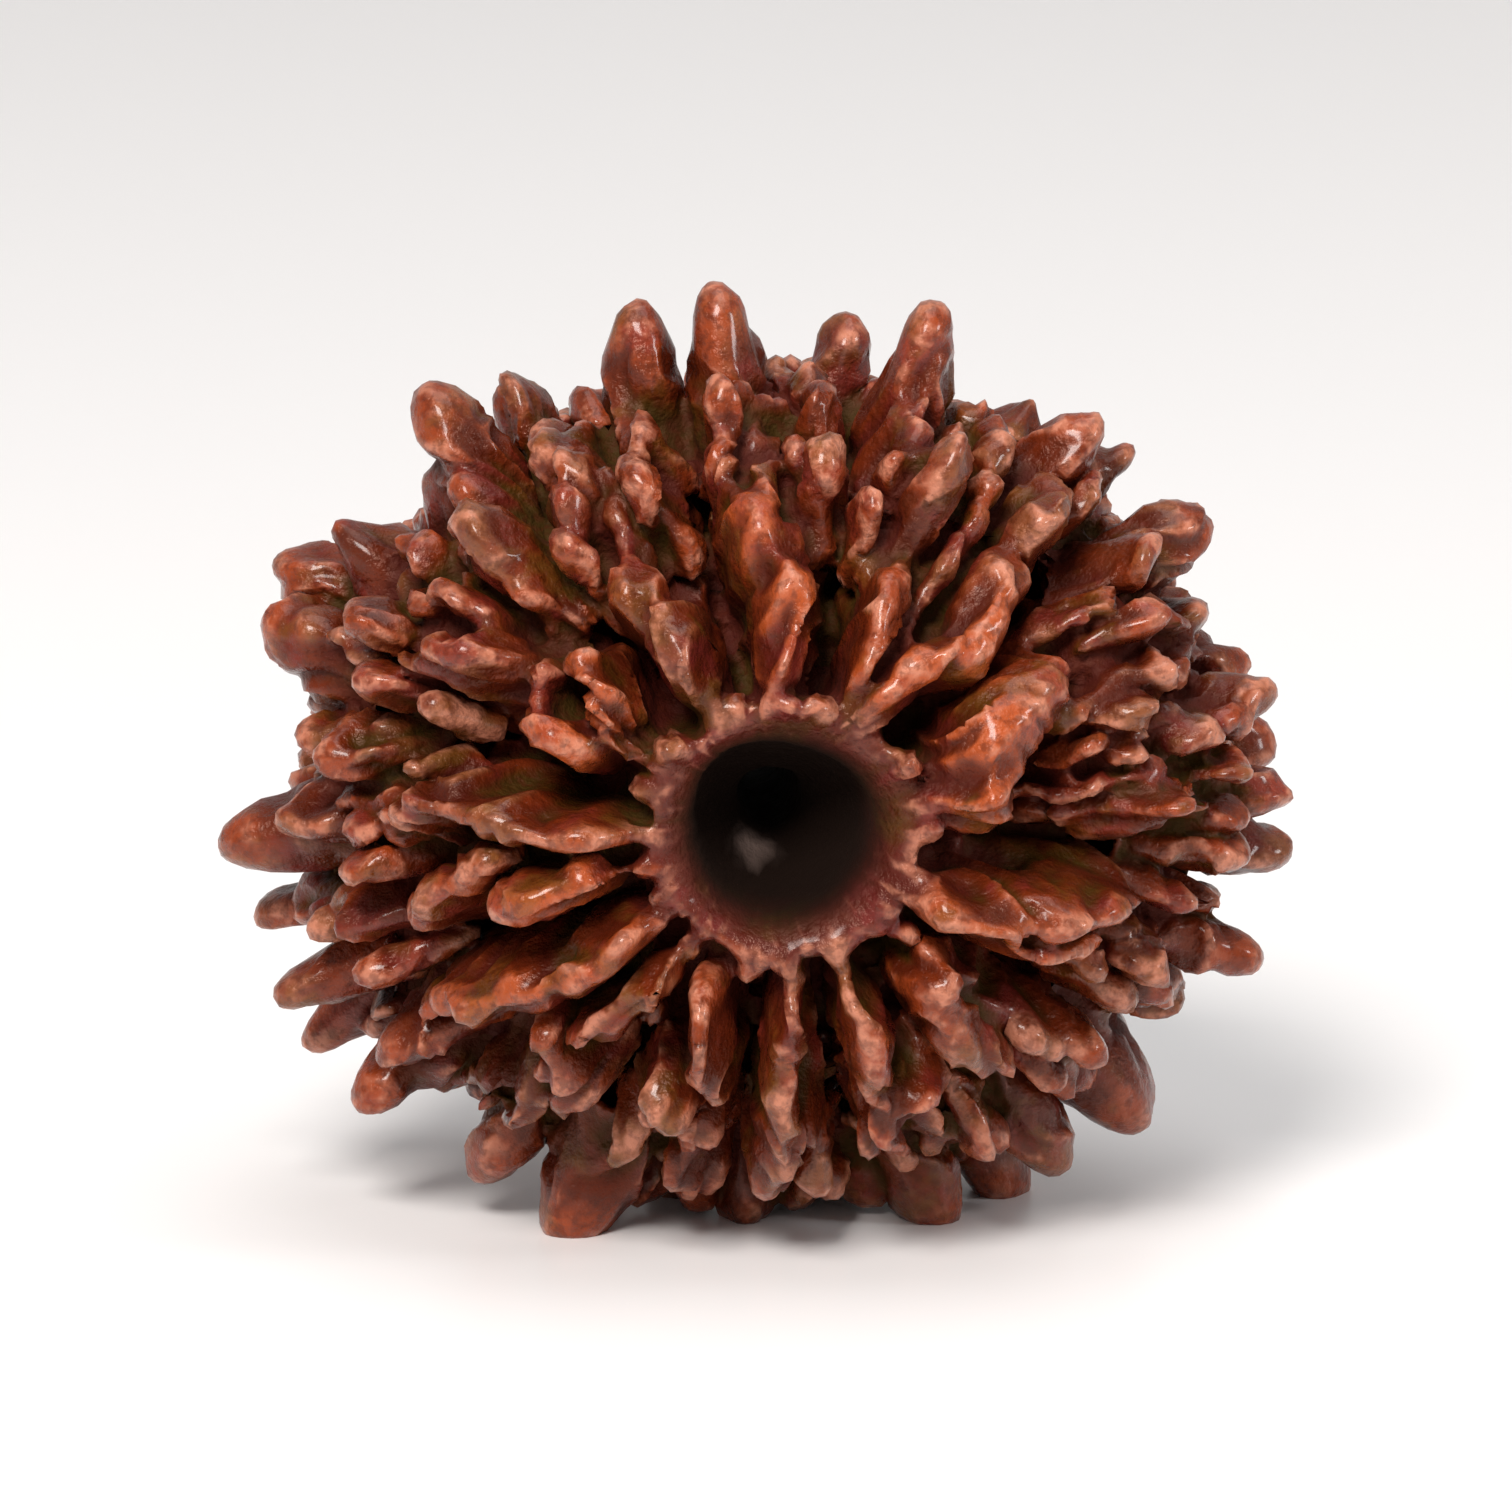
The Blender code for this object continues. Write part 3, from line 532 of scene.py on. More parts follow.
def wrinkle_paths(draw):
    """Paths of short wrinkles, most of which run along the lobes, each with its half width and height."""
    paths = []
    for _ in range(WRINKLES):
        clock = draw.uniform(0, 2 * math.pi)
        latitude = math.asin(draw.uniform(-0.93, 0.93))
        length, turn = draw.uniform(*WRINKLE_LENGTH), draw.gauss(0, 0.5)
        clock_step = 0.5 * length * math.sin(turn) / (MEAN_RADIUS * math.cos(latitude))
        latitude_step = 0.5 * length * math.cos(turn) / MEAN_RADIUS
        clocks = clock + np.array([-1, 1]) * clock_step
        latitudes = latitude + np.array([-1, 1]) * latitude_step
        size = draw.uniform(*WRINKLE_HALF_WIDTH), draw.uniform(*WRINKLE_HEIGHT)
        paths.append((ground_point(clocks, latitudes), *size))
    return paths


def body_mesh(columns, draw):
    """Vertices and faces of the body with its furrows and ridges, closed through the channel."""
    collar_latitude = math.acos(COLLAR_RADIUS / MEAN_RADIUS)
    mouth = HALF_THICKNESS * math.sin(collar_latitude)
    clocks = np.linspace(0, 2 * math.pi, AROUND, endpoint=False)

    latitudes = np.linspace(-collar_latitude, collar_latitude, ALONG_OUTSIDE)
    clock, latitude = (part.ravel() for part in np.meshgrid(clocks, latitudes))
    bare = ground_point(clock, latitude)
    ridges = np.zeros(len(bare))
    for half_width, height, *stops in FACE_RIDGES:
        ridges = np.maximum(ridges, ridge_relief(bare, face_path(stops), half_width, height))
    furrows = furrow_relief(clock, latitude)
    open_ground = np.clip(1.4 + furrows, 0, 1)
    splits = split_relief(clock, latitude, draw) * (1 - np.clip(ridges, 0, 1))
    for path, half_width, height in keel_paths(columns, draw):
        keel = ridge_relief(bare, path, half_width, height) * open_ground
        ridges = np.maximum(ridges, keel)
    for mark in COLLAR_KNOBS:
        spot = face_path([mark])[0]
        reach = np.linalg.norm(bare - spot, axis=1) / COLLAR_KNOB_HALF_WIDTH
        ridges = np.maximum(ridges, COLLAR_KNOB_HEIGHT * np.clip(1 - reach**2, 0, 1))
    lobes = smoothstep(4.0, 6.5, rim_radius(clock) * np.cos(latitude))
    wrinkles = np.zeros(len(bare))
    for path, half_width, height in wrinkle_paths(draw):
        wrinkles = np.maximum(wrinkles, ridge_relief(bare, path, half_width, height))
    pockets = np.zeros(len(bare))
    for pocket_clock, distance, half_width, depth in POCKETS:
        spot = face_path([(pocket_clock, distance)])[0]
        reach = np.linalg.norm(bare - spot, axis=1) / half_width
        pockets = np.minimum(pockets, -depth * np.clip(1 - reach**2, 0, 1))
    furrows *= 1 - np.clip(ridges, 0, 1) ** 2
    wrinkles = (wrinkles * open_ground - WRINKLE_BED) * lobes
    relief = furrows + ridges + splits + wrinkles + lumps(bare, draw) + pockets
    outside = within_outline(bare + body_normal(clock, latitude) * relief[:, None])

    depths = np.linspace(mouth, -mouth, ALONG_CHANNEL + 2)[1:-1]
    clock, depth = (part.ravel() for part in np.meshgrid(clocks, depths))
    share = np.abs(depth / mouth)
    mouth_radius = rim_radius(clock) * math.cos(collar_latitude)
    radius = CHANNEL_RADIUS + (WELL_RADIUS - CHANNEL_RADIUS) * smoothstep(WELL_START, WELL_FULL, share)
    radius *= 1 + 0.06 * np.sin(3 * clock + 0.3 * depth)
    radius += (mouth_radius - radius) * share**COLLAR_FLARE
    channel = np.stack(
        [radius * np.sin(clock) - CHANNEL_SKEW * depth, depth, radius * np.cos(clock)], axis=-1
    )

    rows = ALONG_OUTSIDE + ALONG_CHANNEL
    row, column = np.meshgrid(np.arange(rows), np.arange(AROUND), indexing="ij")
    next_row, next_column = (row + 1) % rows, (column + 1) % AROUND
    corners = (
        row * AROUND + column,
        row * AROUND + next_column,
        next_row * AROUND + next_column,
        next_row * AROUND + column,
    )
    faces = np.stack([corner.ravel() for corner in corners], axis=-1)
    return np.vstack([outside, channel]), [tuple(face) for face in faces.tolist()]


def tooth_mesh(root, tip, width, draw, taper=TOOTH_TAPER, flatness=TOOTH_FLATNESS):
    """Vertices and faces of one round-tipped tooth, flattened across its lobe and a little bent."""
    root, tip = Vector(root), Vector(tip)
    axis = tip - root
    side = axis.cross(Vector((0, 1, 0))).normalized()
    along = side.cross(axis).normalized()
    bend = side * draw.uniform(-0.12, 0.12) * axis.length + along * draw.uniform(-0.15, 0.15) * axis.length
    cap = TOOTH_ROUNDING * width / axis.length
    vertices, faces = [], []
    for ring in range(TOOTH_RINGS):
        t = 1 - (1 - ring / TOOTH_RINGS) ** 1.7
        radius = 0.5 * width * (1 - taper * t) * (1 + 0.4 * (1 - t) ** 3)
        radius *= math.sqrt(1 - max(0, (t - 1 + cap) / cap) ** 2)
        middle = root + axis * t + bend * (t * t - t)
        for corner in range(TOOTH_SIDES):
            turn = 2 * math.pi * corner / TOOTH_SIDES
            offset = side * math.cos(turn) * radius * flatness[0]
            offset += along * math.sin(turn) * radius * flatness[1]
            vertices.append(middle + offset)
        if ring:
            for corner in range(TOOTH_SIDES):
                after = (corner + 1) % TOOTH_SIDES
                low, high = (ring - 1) * TOOTH_SIDES, ring * TOOTH_SIDES
                faces.append((low + corner, low + after, high + after, high + corner))
    vertices.append(tip)
    last = (TOOTH_RINGS - 1) * TOOTH_SIDES
    for corner in range(TOOTH_SIDES):
        faces.append((last + corner, last + (corner + 1) % TOOTH_SIDES, len(vertices) - 1))
    faces.append(tuple(reversed(range(TOOTH_SIDES))))
    return vertices, faces


def tooth_root(clock, depth):
    """Point inside the body's rim that a tooth grows from."""
    inside = rim_radius(clock) - TOOTH_ROOT
    return inside * math.sin(clock), 0.8 * depth, inside * math.cos(clock)


def rim_tooth(tip_clock, reach, root_clock, width, depth, draw):
    """A tooth of the outline, whose tip is seen at this clock angle and reach."""
    seen, lift = math.radians(tip_clock), math.radians(VIEW_ELEVATION)
    height = (reach * math.cos(seen) - depth * math.sin(lift)) / math.cos(lift)
    tip = (reach * math.sin(seen), depth, height)
    return tooth_mesh(tooth_root(math.radians(root_clock), depth), tip, width, draw)


def foot_tooth(clock, width, depth, draw):
    """A tooth that reaches a little below the ground plane, where its tip is cut off."""
    angle = math.radians(clock)
    low = MIDDLE_HEIGHT + FOOT_OVERRUN
    tip = (-low * math.tan(angle), depth, -low)
    return tooth_mesh(tooth_root(angle, depth), tip, width, draw)


def knob(clock, latitude, width, height, draw):
    """A blunt tubercle that stands on the body at this clock angle and latitude, in radians."""
    spot = ground_point(np.array(clock), np.array(latitude))
    out = body_normal(np.array([clock]), np.array([latitude]))[0]
    lean = np.array([draw.uniform(-0.25, 0.25) for _ in range(3)])
    tip = within_outline(spot + (out + lean) * height)
    return tooth_mesh(spot - out * TOOTH_ROOT, tip, 1.15 * width, draw, KNOB_TAPER, KNOB_FLATNESS)


def all_parts():
    """Every overlapping shape that the bead is fused from."""
    draw = random.Random(SEED)
    columns = tubercle_columns(draw)
    parts = [body_mesh(columns, draw)]
    parts += [rim_tooth(*tooth, draw) for tooth in RIM_TEETH]
    parts += [foot_tooth(*tooth, draw) for tooth in FOOT_TEETH]
    for clock, distance, width, height in SHOULDER_KNOBS:
        angle = math.radians(clock)
        parts.append(knob(angle, float(latitude_at(angle, distance)), width, height, draw))
    for clock, latitude, width, height in sum(columns, []):
        parts.append(knob(math.radians(clock), math.radians(latitude), width, height, draw))
    return parts


def joined_mesh(name, parts):
    """One mesh of all the parts, in metres, standing on the ground plane."""
    vertices, faces = [], []
    for part_vertices, part_faces in parts:
        first = len(vertices)
        vertices += [(x * MM, y * MM, (z + MIDDLE_HEIGHT) * MM) for x, y, z in part_vertices]
        faces += [tuple(first + corner for corner in face) for face in part_faces]
    mesh = bpy.data.meshes.new(name)
    mesh.from_pydata(vertices, [], faces)
    mesh.validate()
    return mesh


def evaluated_mesh(obj):
    graph = bpy.context.evaluated_depsgraph_get()
    return bpy.data.meshes.new_from_object(obj.evaluated_get(graph))


def fuse(obj):
    """Joins the overlapping parts into one skin and rounds the creases between them."""
    remesh = obj.modifiers.new("fuse", "REMESH")
    remesh.mode = "VOXEL"
    remesh.voxel_size = FUSE_VOXEL * MM
    smooth = obj.modifiers.new("round", "SMOOTH")
    smooth.factor = 0.5
    smooth.iterations = FUSE_SMOOTHING
    mesh = evaluated_mesh(obj)
    obj.modifiers.clear()
    obj.data = mesh


def numbers(collection, field, width):
    """The values of one field of a mesh's items, as an array."""
    values = np.empty(len(collection) * width, np.float32)
    collection.foreach_get(field, values)
    return values.reshape(-1, width).astype(float) if width > 1 else values.astype(float)


def smoothed(points, edges, rounds):
    """The points after each has moved halfway to its neighbours' middle, this many times."""
    count = np.bincount(edges.ravel(), minlength=len(points))
    for _ in range(rounds):
        middle = np.empty_like(points)
        for axis in range(3):
            total = np.bincount(edges[:, 0], points[edges[:, 1], axis], len(points))
            total += np.bincount(edges[:, 1], points[edges[:, 0], axis], len(points))
            middle[:, axis] = total / count
        points = 0.5 * (points + middle)
    return points


def on_teeth(from_middle):
    """One on the teeth that stand out of the body, zero on the body, smooth between."""
    across, depth, up = from_middle.T
    to_rim = np.hypot(across, up) / rim_radius(np.arctan2(across, up))
    to_surface = np.hypot(to_rim, depth / HALF_THICKNESS)
    return smoothstep(*TOOTH_HEIGHTS, MEAN_RADIUS * (to_surface - 1))


def distance_to_axis(from_middle):
    """Distance from the axis of the channel, which runs a little skew."""
    return np.hypot(from_middle[:, 0] + CHANNEL_SKEW * from_middle[:, 1], from_middle[:, 2])


def skin_relief(from_middle):
    """Height of the skin's wrinkles, which run along the lobes, and of its small knobs.

    Each kind stands in a sharp crest where its noise passes zero.
    """
    across, depth, up = from_middle.T
    clock = np.arctan2(across, up)
    radius = np.hypot(across, up)
    along = MEAN_RADIUS * np.arctan2(depth, radius)
    streak_depths = STREAK_DEPTH * np.maximum(STREAK_LEFT, smoothstep(*STREAK_GROWTH, radius))
    thread_depths = THREAD_DEPTH * smoothstep(*THREAD_GROWTH, radius)
    streak_turns = MEAN_RADIUS / STREAK_WIDTH
    thread_turns = MEAN_RADIUS / THREAD_WIDTH
    relief = np.empty(len(from_middle))
    places = zip(clock.tolist(), along.tolist(), from_middle.tolist())
    for index, (angle, length, place) in enumerate(places):
        angle += STREAK_SWAY * noise.noise([part / STREAK_SWAY_LENGTH for part in place])
        turned = Vector((math.sin(angle), math.cos(angle), 0))
        streak = noise.noise(streak_turns * turned + Vector((0, 0, length / STREAK_LENGTH)))
        thread = noise.noise(thread_turns * turned + Vector((0, 0, length / THREAD_LENGTH)))
        pimple = noise.noise([part / PIMPLE_SIZE for part in place])
        fine = thread_depths[index] * (0.8 - 3 * abs(thread)) + PIMPLE_DEPTH * (1 - 3 * abs(pimple))
        relief[index] = streak_depths[index] * (0.8 - 3 * abs(streak)) + fine
    return relief


def heights(points, edges, normals, rounds):
    """How far each point stands above its surroundings."""
    return np.einsum("ij,ij->i", points - smoothed(points, edges, rounds), normals)


def add_attribute(mesh, name, values):
    """Marks each point of the mesh with a value from 0 to 1."""
    attribute = mesh.attributes.new(name, "FLOAT", "POINT")
    attribute.data.foreach_set("value", np.clip(values, 0, 1).astype(np.float32))


def kept_in_box(points):
    """The points drawn in where they leave the solid's box, and flat where they would sink below it."""
    low, high = (np.array(corner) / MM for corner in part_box("rudraksha_bead"))
    middle = np.array([0, 0, MIDDLE_HEIGHT])
    room = np.minimum(1, (high - middle) / (points.max(axis=0) - middle))
    points = np.where(points > middle, middle + (points - middle) * room, points)
    room = np.minimum(1, (low - middle) / (points.min(axis=0) - middle))
    room[2] = 1
    points = np.where(points < middle, middle + (points - middle) * room, points)
    return np.clip(points, low, high)


def thin_out(obj):
    """Keeps the form and its marks with fewer triangles."""
    triangles = sum(len(face.vertices) - 2 for face in obj.data.polygons)
    decimate = obj.modifiers.new("thin_out", "DECIMATE")
    decimate.ratio = min(1, MOST_TRIANGLES / triangles)
    mesh = evaluated_mesh(obj)
    obj.modifiers.clear()
    obj.data = mesh


def mark(mesh, before, points, edges):
    """Marks the points for the material: how high they stand, and the part of the bead that they belong to.

    The parts are found by the points' places from the bead's middle before the fine relief.
    """
    normals = numbers(mesh.vertex_normals, "vector", 3)
    teeth = on_teeth(points - (0, 0, MIDDLE_HEIGHT))
    # Teeth are lifted in middle height, so they take the crests' colour and painted highlight
    for name, rounds, full, tooth_share in (
        ("fine_height", FINE_ROUNDS, FINE_FULL, 0),
        ("middle_height", MIDDLE_ROUNDS, MIDDLE_FULL, TOOTH_CREST),
        ("broad_height", BROAD_ROUNDS, BROAD_FULL, 0),
    ):
        height = heights(points, edges, normals, rounds) / full
        add_attribute(mesh, name, 0.5 + 0.5 * height + tooth_share * teeth)
    amber = np.zeros(len(points))
    for index in AMBER_RIDGES:
        half_width, height, *stops = FACE_RIDGES[index]
        path = face_path(stops) + (0, -AMBER_LEVEL * height, 0)
        amber = np.maximum(amber, ridge_relief(before, path, half_width + AMBER_MARGIN, 1))
    add_attribute(mesh, "amber", AMBER_STRENGTH * amber)
    axis_distance = distance_to_axis(before)
    # Where the channel's painted shade lies, which also makes it rough and unpolished
    add_attribute(mesh, "depth_in_channel", 1 - smoothstep(*CHANNEL_SHADE_TO_COLLAR, axis_distance))
    add_attribute(mesh, "collar", 1 - smoothstep(*COLLAR_TO_FACE, axis_distance))
    # A painted highlight on the lower wall of the front well
    from_spot = np.linalg.norm(before - WELL_HIGHLIGHT_SPOT, axis=1)
    add_attribute(mesh, "well_highlight", 1 - smoothstep(*WELL_HIGHLIGHT_EDGE, from_spot))


def refine(obj):
    """Sharpens the crests, adds the fine relief, keeps the bead in its box and marks it."""
    mesh = obj.data
    points = numbers(mesh.vertices, "co", 3) / MM
    normals = numbers(mesh.vertex_normals, "vector", 3)
    edges = np.empty(len(mesh.edges) * 2, np.int32)
    mesh.edges.foreach_get("vertices", edges)
    edges = edges.reshape(-1, 2)
    from_middle = points - (0, 0, MIDDLE_HEIGHT)
    outside = smoothstep(*WELL_TO_FACE, distance_to_axis(from_middle))
    sharper = SHARPENING * heights(points, edges, normals, MIDDLE_ROUNDS)
    sharper = np.clip(sharper, -MOST_DEEPENED, MOST_RAISED)
    wrinkles = skin_relief(from_middle) * (WELL_RELIEF + (1 - WELL_RELIEF) * outside)
    relief = sharper * outside + wrinkles
    points += normals * (relief * (1 - (1 - TOOTH_RELIEF) * on_teeth(from_middle)))[:, None]
    points = kept_in_box(points)
    mesh.vertices.foreach_set("co", (points * MM).astype(np.float32).ravel())
    mesh.update()
    mark(mesh, from_middle, points, edges)


class Nodes:
    """A material's node tree, with short calls for the nodes that this bead needs."""

    def __init__(self, material):
        self.tree = material.node_tree
        self.shader = self.tree.nodes["Principled BSDF"]

    def put(self, socket, value):
        """Links the value to the socket if it is a node's output, and else sets it."""
        if isinstance(value, bpy.types.NodeSocket):
            self.tree.links.new(value, socket)
        else:
            socket.default_value = value

    def attribute(self, name):
        """The mesh's marks of this name."""
        node = self.tree.nodes.new("ShaderNodeAttribute")
        node.attribute_name = name
        return node.outputs["Fac"]

    def noise(self, size, detail=3):
        """Noise whose lumps are about this many millimetres across."""
        place = self.tree.nodes.new("ShaderNodeTexCoord")
        mapping = self.tree.nodes.new("ShaderNodeMapping")
        mapping.inputs["Scale"].default_value = [1 / (size * MM)] * 3
        self.tree.links.new(place.outputs["Object"], mapping.inputs["Vector"])
        node = self.tree.nodes.new("ShaderNodeTexNoise")
        node.inputs["Scale"].default_value = 1
        node.inputs["Detail"].default_value = detail
        node.inputs["Roughness"].default_value = NOISE_ROUGHNESS
        self.tree.links.new(mapping.outputs["Vector"], node.inputs["Vector"])
        return node.outputs["Fac"]

    def ramp(self, value, low, high):
        """Zero up to low, one from high, smooth between."""
        node = self.tree.nodes.new("ShaderNodeMapRange")
        node.interpolation_type = "SMOOTHSTEP"
        node.inputs["From Min"].default_value = low
        node.inputs["From Max"].default_value = high
        self.put(node.inputs["Value"], value)
        return node.outputs["Result"]

    def math(self, operation, first, second):
        """Result of an operation on two values, kept between 0 and 1."""
        node = self.tree.nodes.new("ShaderNodeMath")
        node.operation = operation
        node.use_clamp = True
        self.put(node.inputs[0], first)
        self.put(node.inputs[1], second)
        return node.outputs["Value"]

    def mix(self, share, first, second):
        """Colour that goes from first to second with the share."""
        node = self.tree.nodes.new("ShaderNodeMix")
        node.data_type = "RGBA"
        self.put(node.inputs["Factor"], share)
        self.put(node.inputs[6], first)
        self.put(node.inputs[7], second)
        return node.outputs[2]

    def bump(self, height, distance, strength, below=None):
        """Normal of a relief this many millimetres high, laid over the one below it."""
        node = self.tree.nodes.new("ShaderNodeBump")
        node.inputs["Strength"].default_value = strength
        node.inputs["Distance"].default_value = distance * MM
        self.put(node.inputs["Height"], height)
        if below:
            self.put(node.inputs["Normal"], below)
        return node.outputs["Normal"]


def stone_colour(nodes, low):
    """Colour of the stone: a purple-brown collar, crests lightened partly as painted highlight, painted
    highlights on their edges, and painted shade in the furrows and on the flanks.
    """
    fine = nodes.attribute("fine_height")
    middle = nodes.attribute("middle_height")
    collar = nodes.attribute("collar")

    # Ground of two browns with dusty patches, more purple on the collar
    colour = nodes.mix(nodes.ramp(nodes.noise(2.4), 0.35, 0.65), MAHOGANY, RED_BROWN)
    dusty = nodes.math("MULTIPLY", nodes.ramp(nodes.noise(1.3), 0.52, 0.7), 0.4)
    colour = nodes.mix(dusty, colour, DUST)
    colour = nodes.mix(nodes.math("MULTIPLY", collar, 0.75), colour, COLLAR_PURPLE)

    # Crests, lighter partly in their own colour and partly as a painted highlight, some of them tan and a
    # few orange
    patchy = nodes.ramp(nodes.noise(1.4), 0.25, 0.55)
    crest = nodes.math("MULTIPLY", nodes.ramp(middle, 0.68, 0.95), patchy)
    crest_colour = nodes.mix(nodes.ramp(nodes.noise(2.8), 0.48, 0.6), CREST_BROWN, TAN_BROWN)
    colour = nodes.mix(crest, colour, crest_colour)
    bright = nodes.math("MULTIPLY", nodes.attribute("amber"), nodes.ramp(middle, 0.6, 0.9))
    colour = nodes.mix(bright, colour, ORANGE)

    # Crimson and olive patches
    crimson = nodes.math("MULTIPLY", nodes.ramp(nodes.noise(1.9), 0.52, 0.64), 0.4)
    colour = nodes.mix(crimson, colour, CRIMSON)
    olive = nodes.math("MULTIPLY", nodes.ramp(nodes.noise(1.7), 0.54, 0.66), 0.4)
    colour = nodes.mix(olive, colour, OLIVE_BROWN)

    # Painted shade, together with the furrows' own dark grime, in the low ground, and painted shade on the
    # flanks above it
    furrow_shade = nodes.mix(nodes.ramp(nodes.noise(3.5), 0.45, 0.6), FURROW_SHADE_BROWN, FURROW_SHADE_OLIVE)
    colour = nodes.mix(low, colour, furrow_shade)
    flank = nodes.math("SUBTRACT", 1.0, nodes.ramp(middle, 0.3, 0.68))
    colour = nodes.mix(nodes.math("MULTIPLY", flank, 0.8), colour, furrow_shade)

    # Painted highlights along the edges of the crests and on the tops of the collar's knobs
    painted_highlight = nodes.math("MULTIPLY", nodes.ramp(fine, 0.62, 0.95), nodes.ramp(middle, 0.76, 1.0))
    painted_highlight = nodes.math("MULTIPLY", painted_highlight, nodes.ramp(nodes.noise(0.8), 0.42, 0.62))
    colour = nodes.mix(nodes.math("MULTIPLY", painted_highlight, 0.85), colour, HIGHLIGHT_TAN)
    knob_highlight = nodes.math("MULTIPLY", collar, nodes.ramp(fine, 0.55, 0.85))
    knob_highlight = nodes.math("MULTIPLY", knob_highlight, nodes.ramp(nodes.noise(0.9), 0.4, 0.6))
    colour = nodes.mix(nodes.math("MULTIPLY", knob_highlight, 0.6), colour, HIGHLIGHT_TAN)

    # Fine mottling, the painted shade of the channel and the painted highlight on its lower wall
    mottled = nodes.math("MULTIPLY", nodes.ramp(nodes.noise(0.32, detail=4), 0.46, 0.64), 0.5)
    colour = nodes.mix(mottled, colour, MAHOGANY)
    colour = nodes.mix(nodes.attribute("depth_in_channel"), colour, CHANNEL_SHADE_BLACK)
    return nodes.mix(nodes.attribute("well_highlight"), colour, WELL_HIGHLIGHT)


def seed_stone_material():
    """Oiled reddish-brown stone, duller in its furrows and channel, with a polish on its crests."""
    material = bpy.data.materials.new("seed_stone")
    material.use_nodes = True
    nodes = Nodes(material)
    # Low ground between the lobes: darkened in colour by painted shade, and rougher
    low = nodes.math("SUBTRACT", 1.0, nodes.ramp(nodes.attribute("broad_height"), 0.25, 0.65))
    nodes.put(nodes.shader.inputs["Base Color"], stone_colour(nodes, low))

    channel = nodes.attribute("depth_in_channel")
    uneven = nodes.math("MULTIPLY", nodes.noise(0.8), 0.3)
    rough = nodes.math("ADD", nodes.math("MULTIPLY", low, 0.4), uneven)
    rough = nodes.math("ADD", rough, nodes.math("MULTIPLY", channel, 0.8))
    nodes.put(nodes.shader.inputs["Roughness"], nodes.math("ADD", rough, 0.15))
    nodes.shader.inputs["Specular IOR Level"].default_value = SHINE
    nodes.shader.inputs["Specular Tint"].default_value = SHINE_TINT

    crests = nodes.ramp(nodes.attribute("middle_height"), 0.45, 0.85)
    polished = nodes.math("SUBTRACT", crests, channel)
    nodes.put(nodes.shader.inputs["Coat Weight"], nodes.math("MULTIPLY", polished, POLISH_WEIGHT))
    nodes.shader.inputs["Coat Roughness"].default_value = POLISH_ROUGHNESS

    pores = nodes.bump(nodes.noise(0.14, detail=2), 0.03, 0.8)
    dimples = nodes.bump(nodes.noise(0.4, detail=4), 0.16, 0.9, pores)
    nodes.put(nodes.shader.inputs["Normal"], dimples)
    return material


def bead():
    """The finished bead, in place of the plain solid."""
    obj = bpy.data.objects.new("rudraksha_bead_skin", joined_mesh("rudraksha_bead_skin", all_parts()))
    bpy.context.scene.collection.objects.link(obj)
    fuse(obj)
    refine(obj)
    thin_out(obj)
    points = kept_in_box(numbers(obj.data.vertices, "co", 3) / MM)
    obj.data.vertices.foreach_set("co", (points * MM).astype(np.float32).ravel())
    obj.data.materials.clear()
    obj.data.materials.append(seed_stone_material())
    obj.data.shade_smooth()
    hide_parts("rudraksha_bead")
    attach(obj, "root")
    return obj


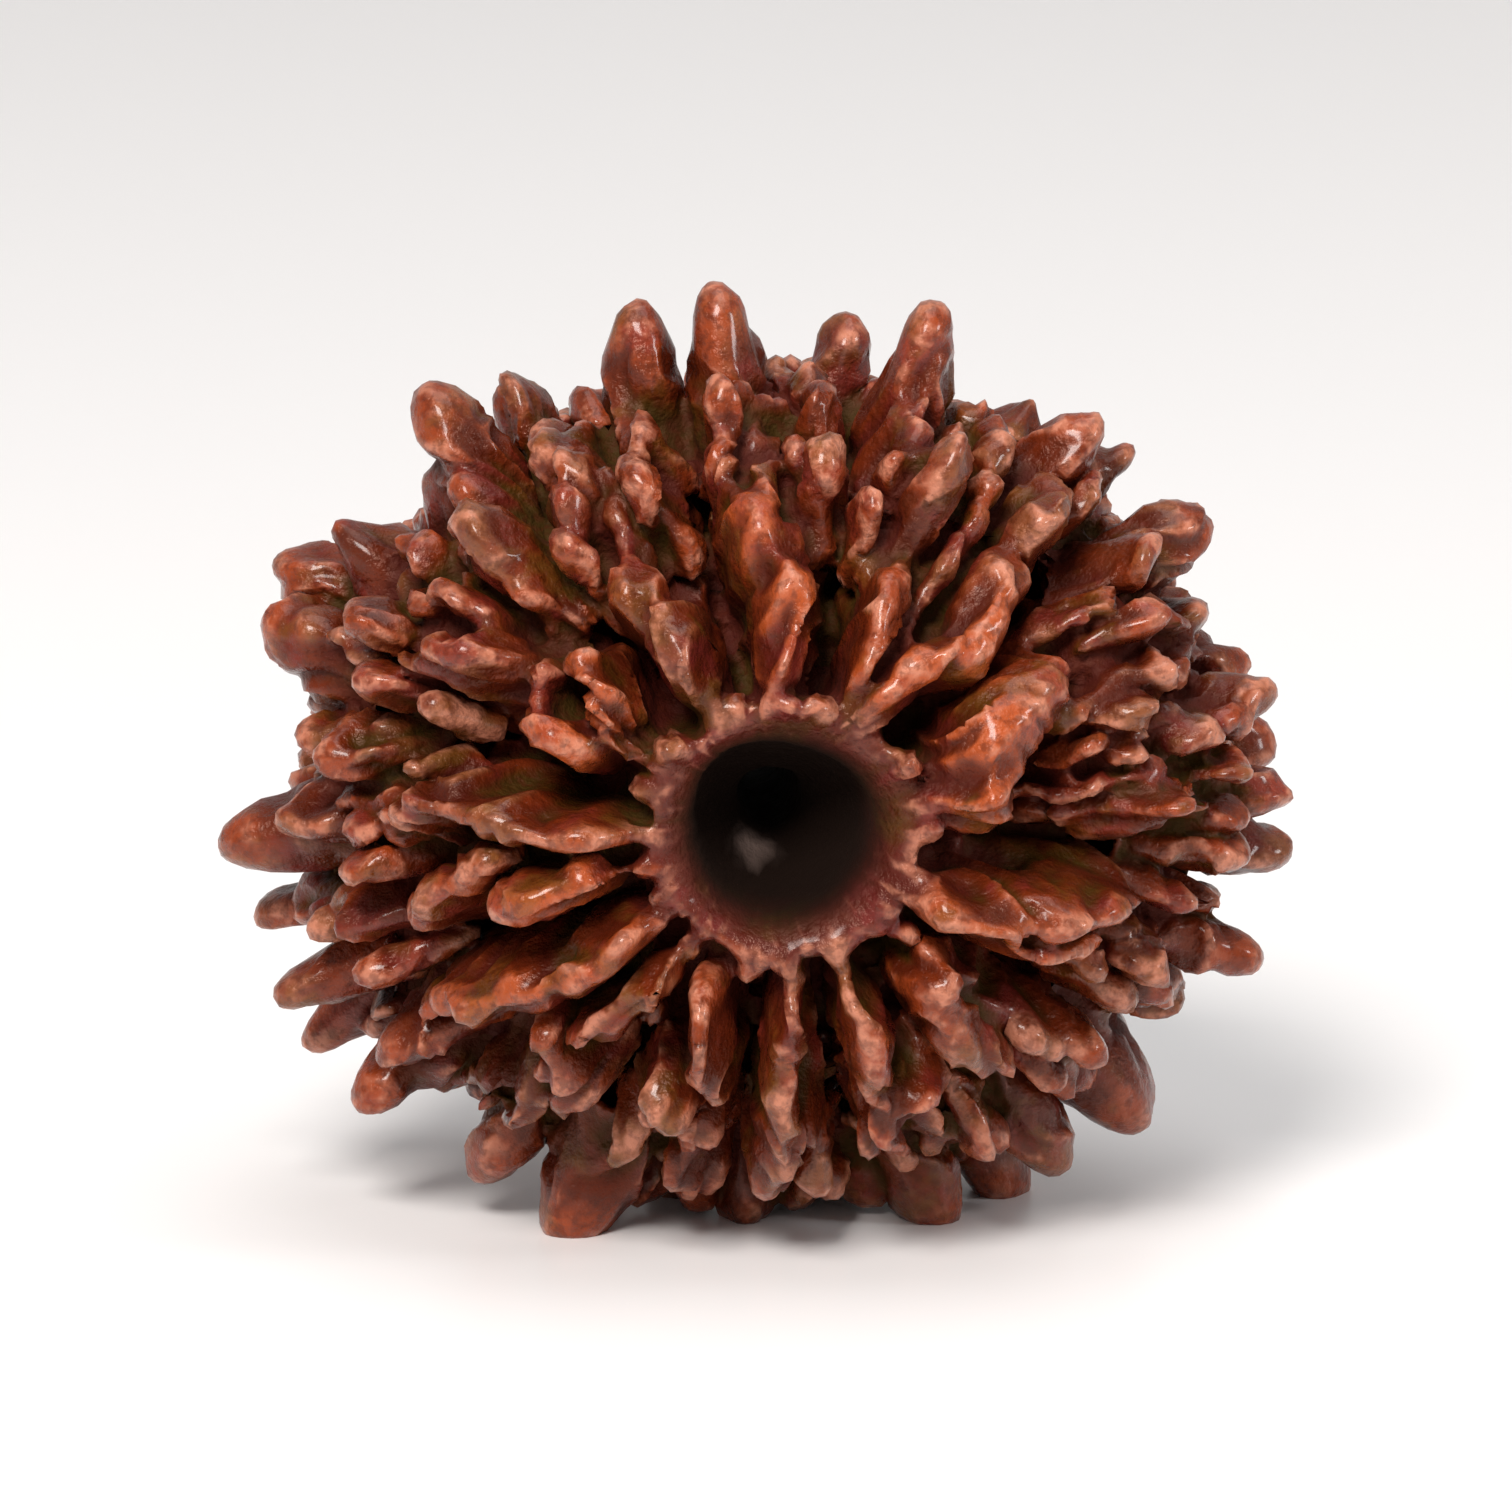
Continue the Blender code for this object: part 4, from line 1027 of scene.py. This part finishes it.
def floor():
    """A pale surface that shows a faint reflection and bends up into a backdrop."""
    mesh = bpy.data.meshes.new("floor")
    profile = [(FLOOR_NEAR, 0.0), (FLOOR_BEND, 0.0)]
    for step in range(1, FLOOR_BEND_STEPS + 1):
        angle = math.pi / 2 * step / FLOOR_BEND_STEPS
        back = FLOOR_BEND + FLOOR_BEND_RADIUS * math.sin(angle)
        profile.append((back, FLOOR_BEND_RADIUS * (1 - math.cos(angle))))
    profile.append((FLOOR_BEND + FLOOR_BEND_RADIUS, FLOOR_BACK))
    vertices = [(side * FLOOR_HALF_WIDTH, y, z) for y, z in profile for side in (-1, 1)]
    faces = [(2 * i, 2 * i + 1, 2 * i + 3, 2 * i + 2) for i in range(len(profile) - 1)]
    mesh.from_pydata(vertices, [], faces)
    mesh.shade_smooth()
    obj = bpy.data.objects.new("floor", mesh)
    bpy.context.scene.collection.objects.link(obj)
    material = bpy.data.materials.new("pale_floor")
    material.use_nodes = True
    shader = material.node_tree.nodes["Principled BSDF"]
    shader.inputs["Base Color"].default_value = FLOOR_COLOUR
    shader.inputs["Roughness"].default_value = FLOOR_ROUGHNESS
    mesh.materials.append(material)


def light(name, place, size, power, colour):
    """A square light that faces the bead."""
    data = bpy.data.lights.new(name, "AREA")
    data.size = size
    data.energy = power
    data.color = colour
    obj = bpy.data.objects.new(name, data)
    obj.location = place
    aim = Vector((0, 0, MIDDLE_HEIGHT * MM)) - Vector(place)
    obj.rotation_euler = aim.to_track_quat("-Z", "Y").to_euler()
    bpy.context.scene.collection.objects.link(obj)


def studio():
    """The floor, the lights and an even white surrounding light."""
    floor()
    for row in LIGHTS:
        light(*row)
    world = bpy.data.worlds.new("studio")
    world.use_nodes = True
    background = world.node_tree.nodes["Background"]
    background.inputs["Color"].default_value = (1, 1, 1, 1)
    background.inputs["Strength"].default_value = SURROUNDING_LIGHT
    bpy.context.scene.world = world
    bpy.context.scene.view_settings.view_transform = "Standard"


def camera():
    """A camera in front of the bead and a little above it, aimed at its middle."""
    data = bpy.data.cameras.new("camera")
    data.sensor_width = 36
    data.lens = CAMERA_LENS
    obj = bpy.data.objects.new("camera", data)
    lift = math.radians(VIEW_ELEVATION)
    back = Vector((0, -math.cos(lift), math.sin(lift)))
    obj.location = Vector((0, 0, MIDDLE_HEIGHT * MM)) + back * CAMERA_DISTANCE * MM
    obj.rotation_euler = (-back).to_track_quat("-Z", "Y").to_euler()
    bpy.context.scene.collection.objects.link(obj)
    bpy.context.scene.camera = obj


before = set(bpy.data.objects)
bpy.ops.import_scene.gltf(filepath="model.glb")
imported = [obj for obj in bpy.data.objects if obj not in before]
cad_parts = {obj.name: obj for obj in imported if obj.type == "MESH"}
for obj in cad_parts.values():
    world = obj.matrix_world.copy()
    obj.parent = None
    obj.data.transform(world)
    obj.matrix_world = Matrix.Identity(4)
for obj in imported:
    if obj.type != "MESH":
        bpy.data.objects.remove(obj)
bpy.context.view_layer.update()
camera()
studio()
bead()
